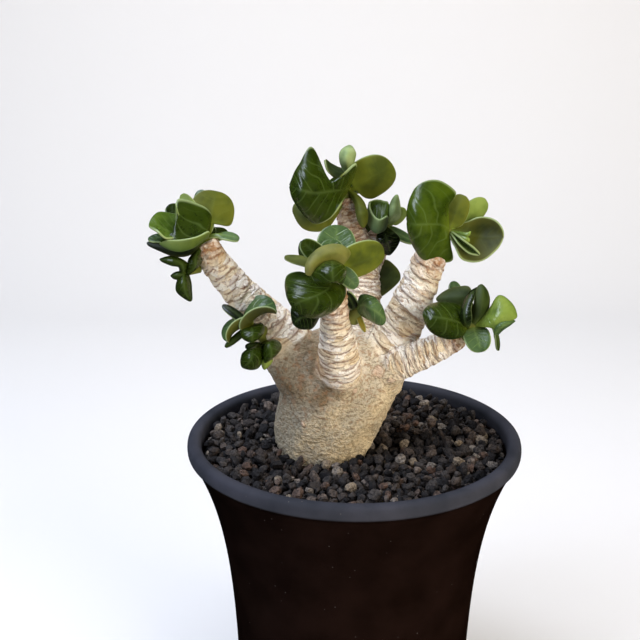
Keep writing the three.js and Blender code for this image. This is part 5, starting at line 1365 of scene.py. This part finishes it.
def leafMaterial():
    # The fleshy, waxy leaf of an adenium: glossy and quilted above, with thin pale veins, matt and more
    # yellow below with a paler edge, and a pale margin all round that is partly a painted highlight. A little
    # light passes through the flesh.
    material, tree, shader, place = startMaterial("waxy_adenium_leaf")
    own = addNode(tree, "Attribute", attribute_name="leafColour").outputs["Color"]
    field = {name: addNode(tree, "Attribute", attribute_name=name).outputs["Fac"]
             for name in ("phase", "veined", "midrib", "middle", "under", "margin", "foot")}
    blade = addNode(tree, "UVMap", uv_map="blade")
    cloud = addNode(tree, "TexNoise", {"Vector": place, "Scale": perSize(5), "Detail": 3.0})
    shade = addNode(tree, "ValToRGB", [cloud], ramp=[(0.36, "#a9b8a0"), (0.5, "#e2eadb"), (0.64, "#ffffff")])
    tinted = addNode(tree, "Mix", {0: 0.85, 6: own, 7: shade}, **multiplied)
    offVein = addNode(tree, "Math", [field["phase"], 0.5], operation="PINGPONG")
    sideVein = addNode(tree, "MapRange", [offVein, 0.0, 0.10, 1.0, 0.0])
    sideLine = addNode(tree, "Math", [sideVein, field["veined"]], operation="MULTIPLY")
    net = addNode(tree, "TexVoronoi", {"Vector": blade, "Scale": 100 / 1.5}, feature="DISTANCE_TO_EDGE",
                  voronoi_dimensions="2D")
    netLine = addNode(tree, "MapRange", [net, 0.0, 0.12, 0.12, 0.0])
    netShare = addNode(tree, "Math", [netLine, field["veined"]], operation="MULTIPLY")
    lines = addNode(tree, "Math", [sideLine, netShare], operation="MAXIMUM")
    allVeins = addNode(tree, "Math", [lines, field["midrib"]], operation="MAXIMUM")
    upperShare = addNode(tree, "MapRange", [field["under"], 0.0, 1.0, 0.12, 0.03])
    veinShare = addNode(tree, "Math", [allVeins, upperShare], operation="MULTIPLY")
    lined = addNode(tree, "Mix", {0: veinShare, 6: tinted, 7: "#8ba65c"}, **blended)
    outward = addNode(tree, "MapRange", [field["middle"], 0.0, 0.6, 0.22, 0.0])
    underEdge = addNode(tree, "Math", [outward, field["under"]], operation="MULTIPLY")
    faded = addNode(tree, "Mix", {0: underEdge, 6: lined, 7: "#83842f"}, **blended)
    footed = addNode(tree, "MapRange", [field["foot"], 0.0, 1.0, 0.0, 0.4])
    paleFoot = addNode(tree, "Mix", {0: footed, 6: faded, 7: "#74842c"}, **blended)
    # a paler green margin that is also a painted highlight where the rim catches the light
    rimHighlight = addNode(tree, "MapRange", [field["margin"], 0.42, 0.85, 0.0, 0.7])
    edged = addNode(tree, "Mix", {0: rimHighlight, 6: paleFoot, 7: "#a4b67c"}, **blended)
    rough = addNode(tree, "MapRange", [field["under"], 0.0, 1.0, 0.27, 0.7])
    # the skin sinks along the veins and is quilted between them, above more than below
    fineGrain = addNode(tree, "TexNoise", {"Vector": place, "Scale": perSize(0.9), "Detail": 3.0})
    sunk = addNode(tree, "Math", [lines, -0.7, fineGrain], operation="MULTIPLY_ADD")
    depth = addNode(tree, "MapRange", [field["under"], 0.0, 1.0, 0.55, 0.15])
    bump = addNode(tree, "Bump", {"Height": sunk, "Strength": depth, "Distance": 0.16 * mm})
    plugIn(tree, shader, {
        "Base Color": edged, "Roughness": rough, "Specular IOR Level": 0.6, "Normal": bump,
        "Subsurface Weight": 0.06, "Subsurface Scale": 0.6 * mm, "Subsurface Radius": (0.6, 1.0, 0.25)})
    return material


waxyLeaf = leafMaterial()
for headName, head in leafHeads.items():
    pieceName = headName.replace("leaves", "curly_leaves").replace("leaf_", "curly_leaf_")
    piece = addPiece(pieceName, buildHead(headName, head), waxyLeaf, [headName])
    print("leaves built", headName, len(piece.data.polygons) * 2)


# The studio: a pale floor that curves up into a backdrop, and soft lamps

studio = {
    "floor": "#e4e3e1", "back": 700, "rise": 900, "bend": 250, "wide": 3000, "front": -900,
    "world": ("#eef2f6", 0.14),
    # name: place, where it points, watts, width, colour
    "lamps": {
        "key": ((620, -620, 330), (0, 0, 130), 8.4, 600, "#fff1de"),
        "window": ((-420, -300, 600), (0, 0, 130), 3.0, 340, "#dde8ff"),
        "skylight": ((-220, 40, 760), (0, 0, 130), 1.8, 320, "#dfe9ff"),
        "sky": ((-60, -40, 780), (0, 0, 130), 3.6, 800, "#f4f6ff"),
        "backdrop": ((0, 300, 900), (0, 900, 300), 1.7, 900, "#ffffff"),
    },
    "mirrored": ("window", "skylight"),     # the waxy leaves mirror these alone, and neither floor nor room
}


def buildFloor():
    # A strip that runs flat to the back, turns up on a quarter circle and runs on up.
    bend = studio["bend"]
    angle = np.linspace(0, math.pi / 2, 16)
    curved = studio["back"] - bend + bend * np.sin(angle)
    depth = np.concatenate([[studio["front"]], curved, [studio["back"]]])
    height = np.concatenate([[0], bend * (1 - np.cos(angle)), [studio["rise"]]])
    across = np.array([-studio["wide"] / 2, studio["wide"] / 2])
    points = np.stack(np.broadcast_arrays(across, depth[:, None], height[:, None]), axis=-1)
    return buildMesh("floor", points.reshape(-1, 3), gridFaces(len(depth), 2, False)[:, ::-1])


def paintMaterial():
    # Matt studio paper.
    material, tree, shader, _ = startMaterial("matt_studio_paper")
    plugIn(tree, shader, {"Base Color": studio["floor"], "Roughness": 0.9})
    return material


def addLamp(name, place, aim, watts, width, hexValue):
    light = bpy.data.lights.new(name, "AREA")
    light.energy = watts
    light.size = width * mm
    light.color = srgb(hexValue)[:3]
    lamp = addObject(name, light)
    lamp.location = Vector(place) * mm
    lamp.visible_glossy = name in studio["mirrored"]
    lamp.rotation_euler = (Vector(aim) * mm - lamp.location).to_track_quat("-Z", "Y").to_euler()


floor = addObject("floor", buildFloor())
floor.data.materials.append(paintMaterial())
floor.visible_glossy = False
for lampName, settings in studio["lamps"].items():
    addLamp(lampName, *settings)

world = bpy.data.worlds.new("studio")
world.use_nodes = True
plugIn(world.node_tree, world.node_tree.nodes["Background"], studio["world"])
bpy.context.scene.world = world
world.cycles_visibility.glossy = False
bpy.context.scene.view_settings.view_transform = "Standard"
print("studio set")
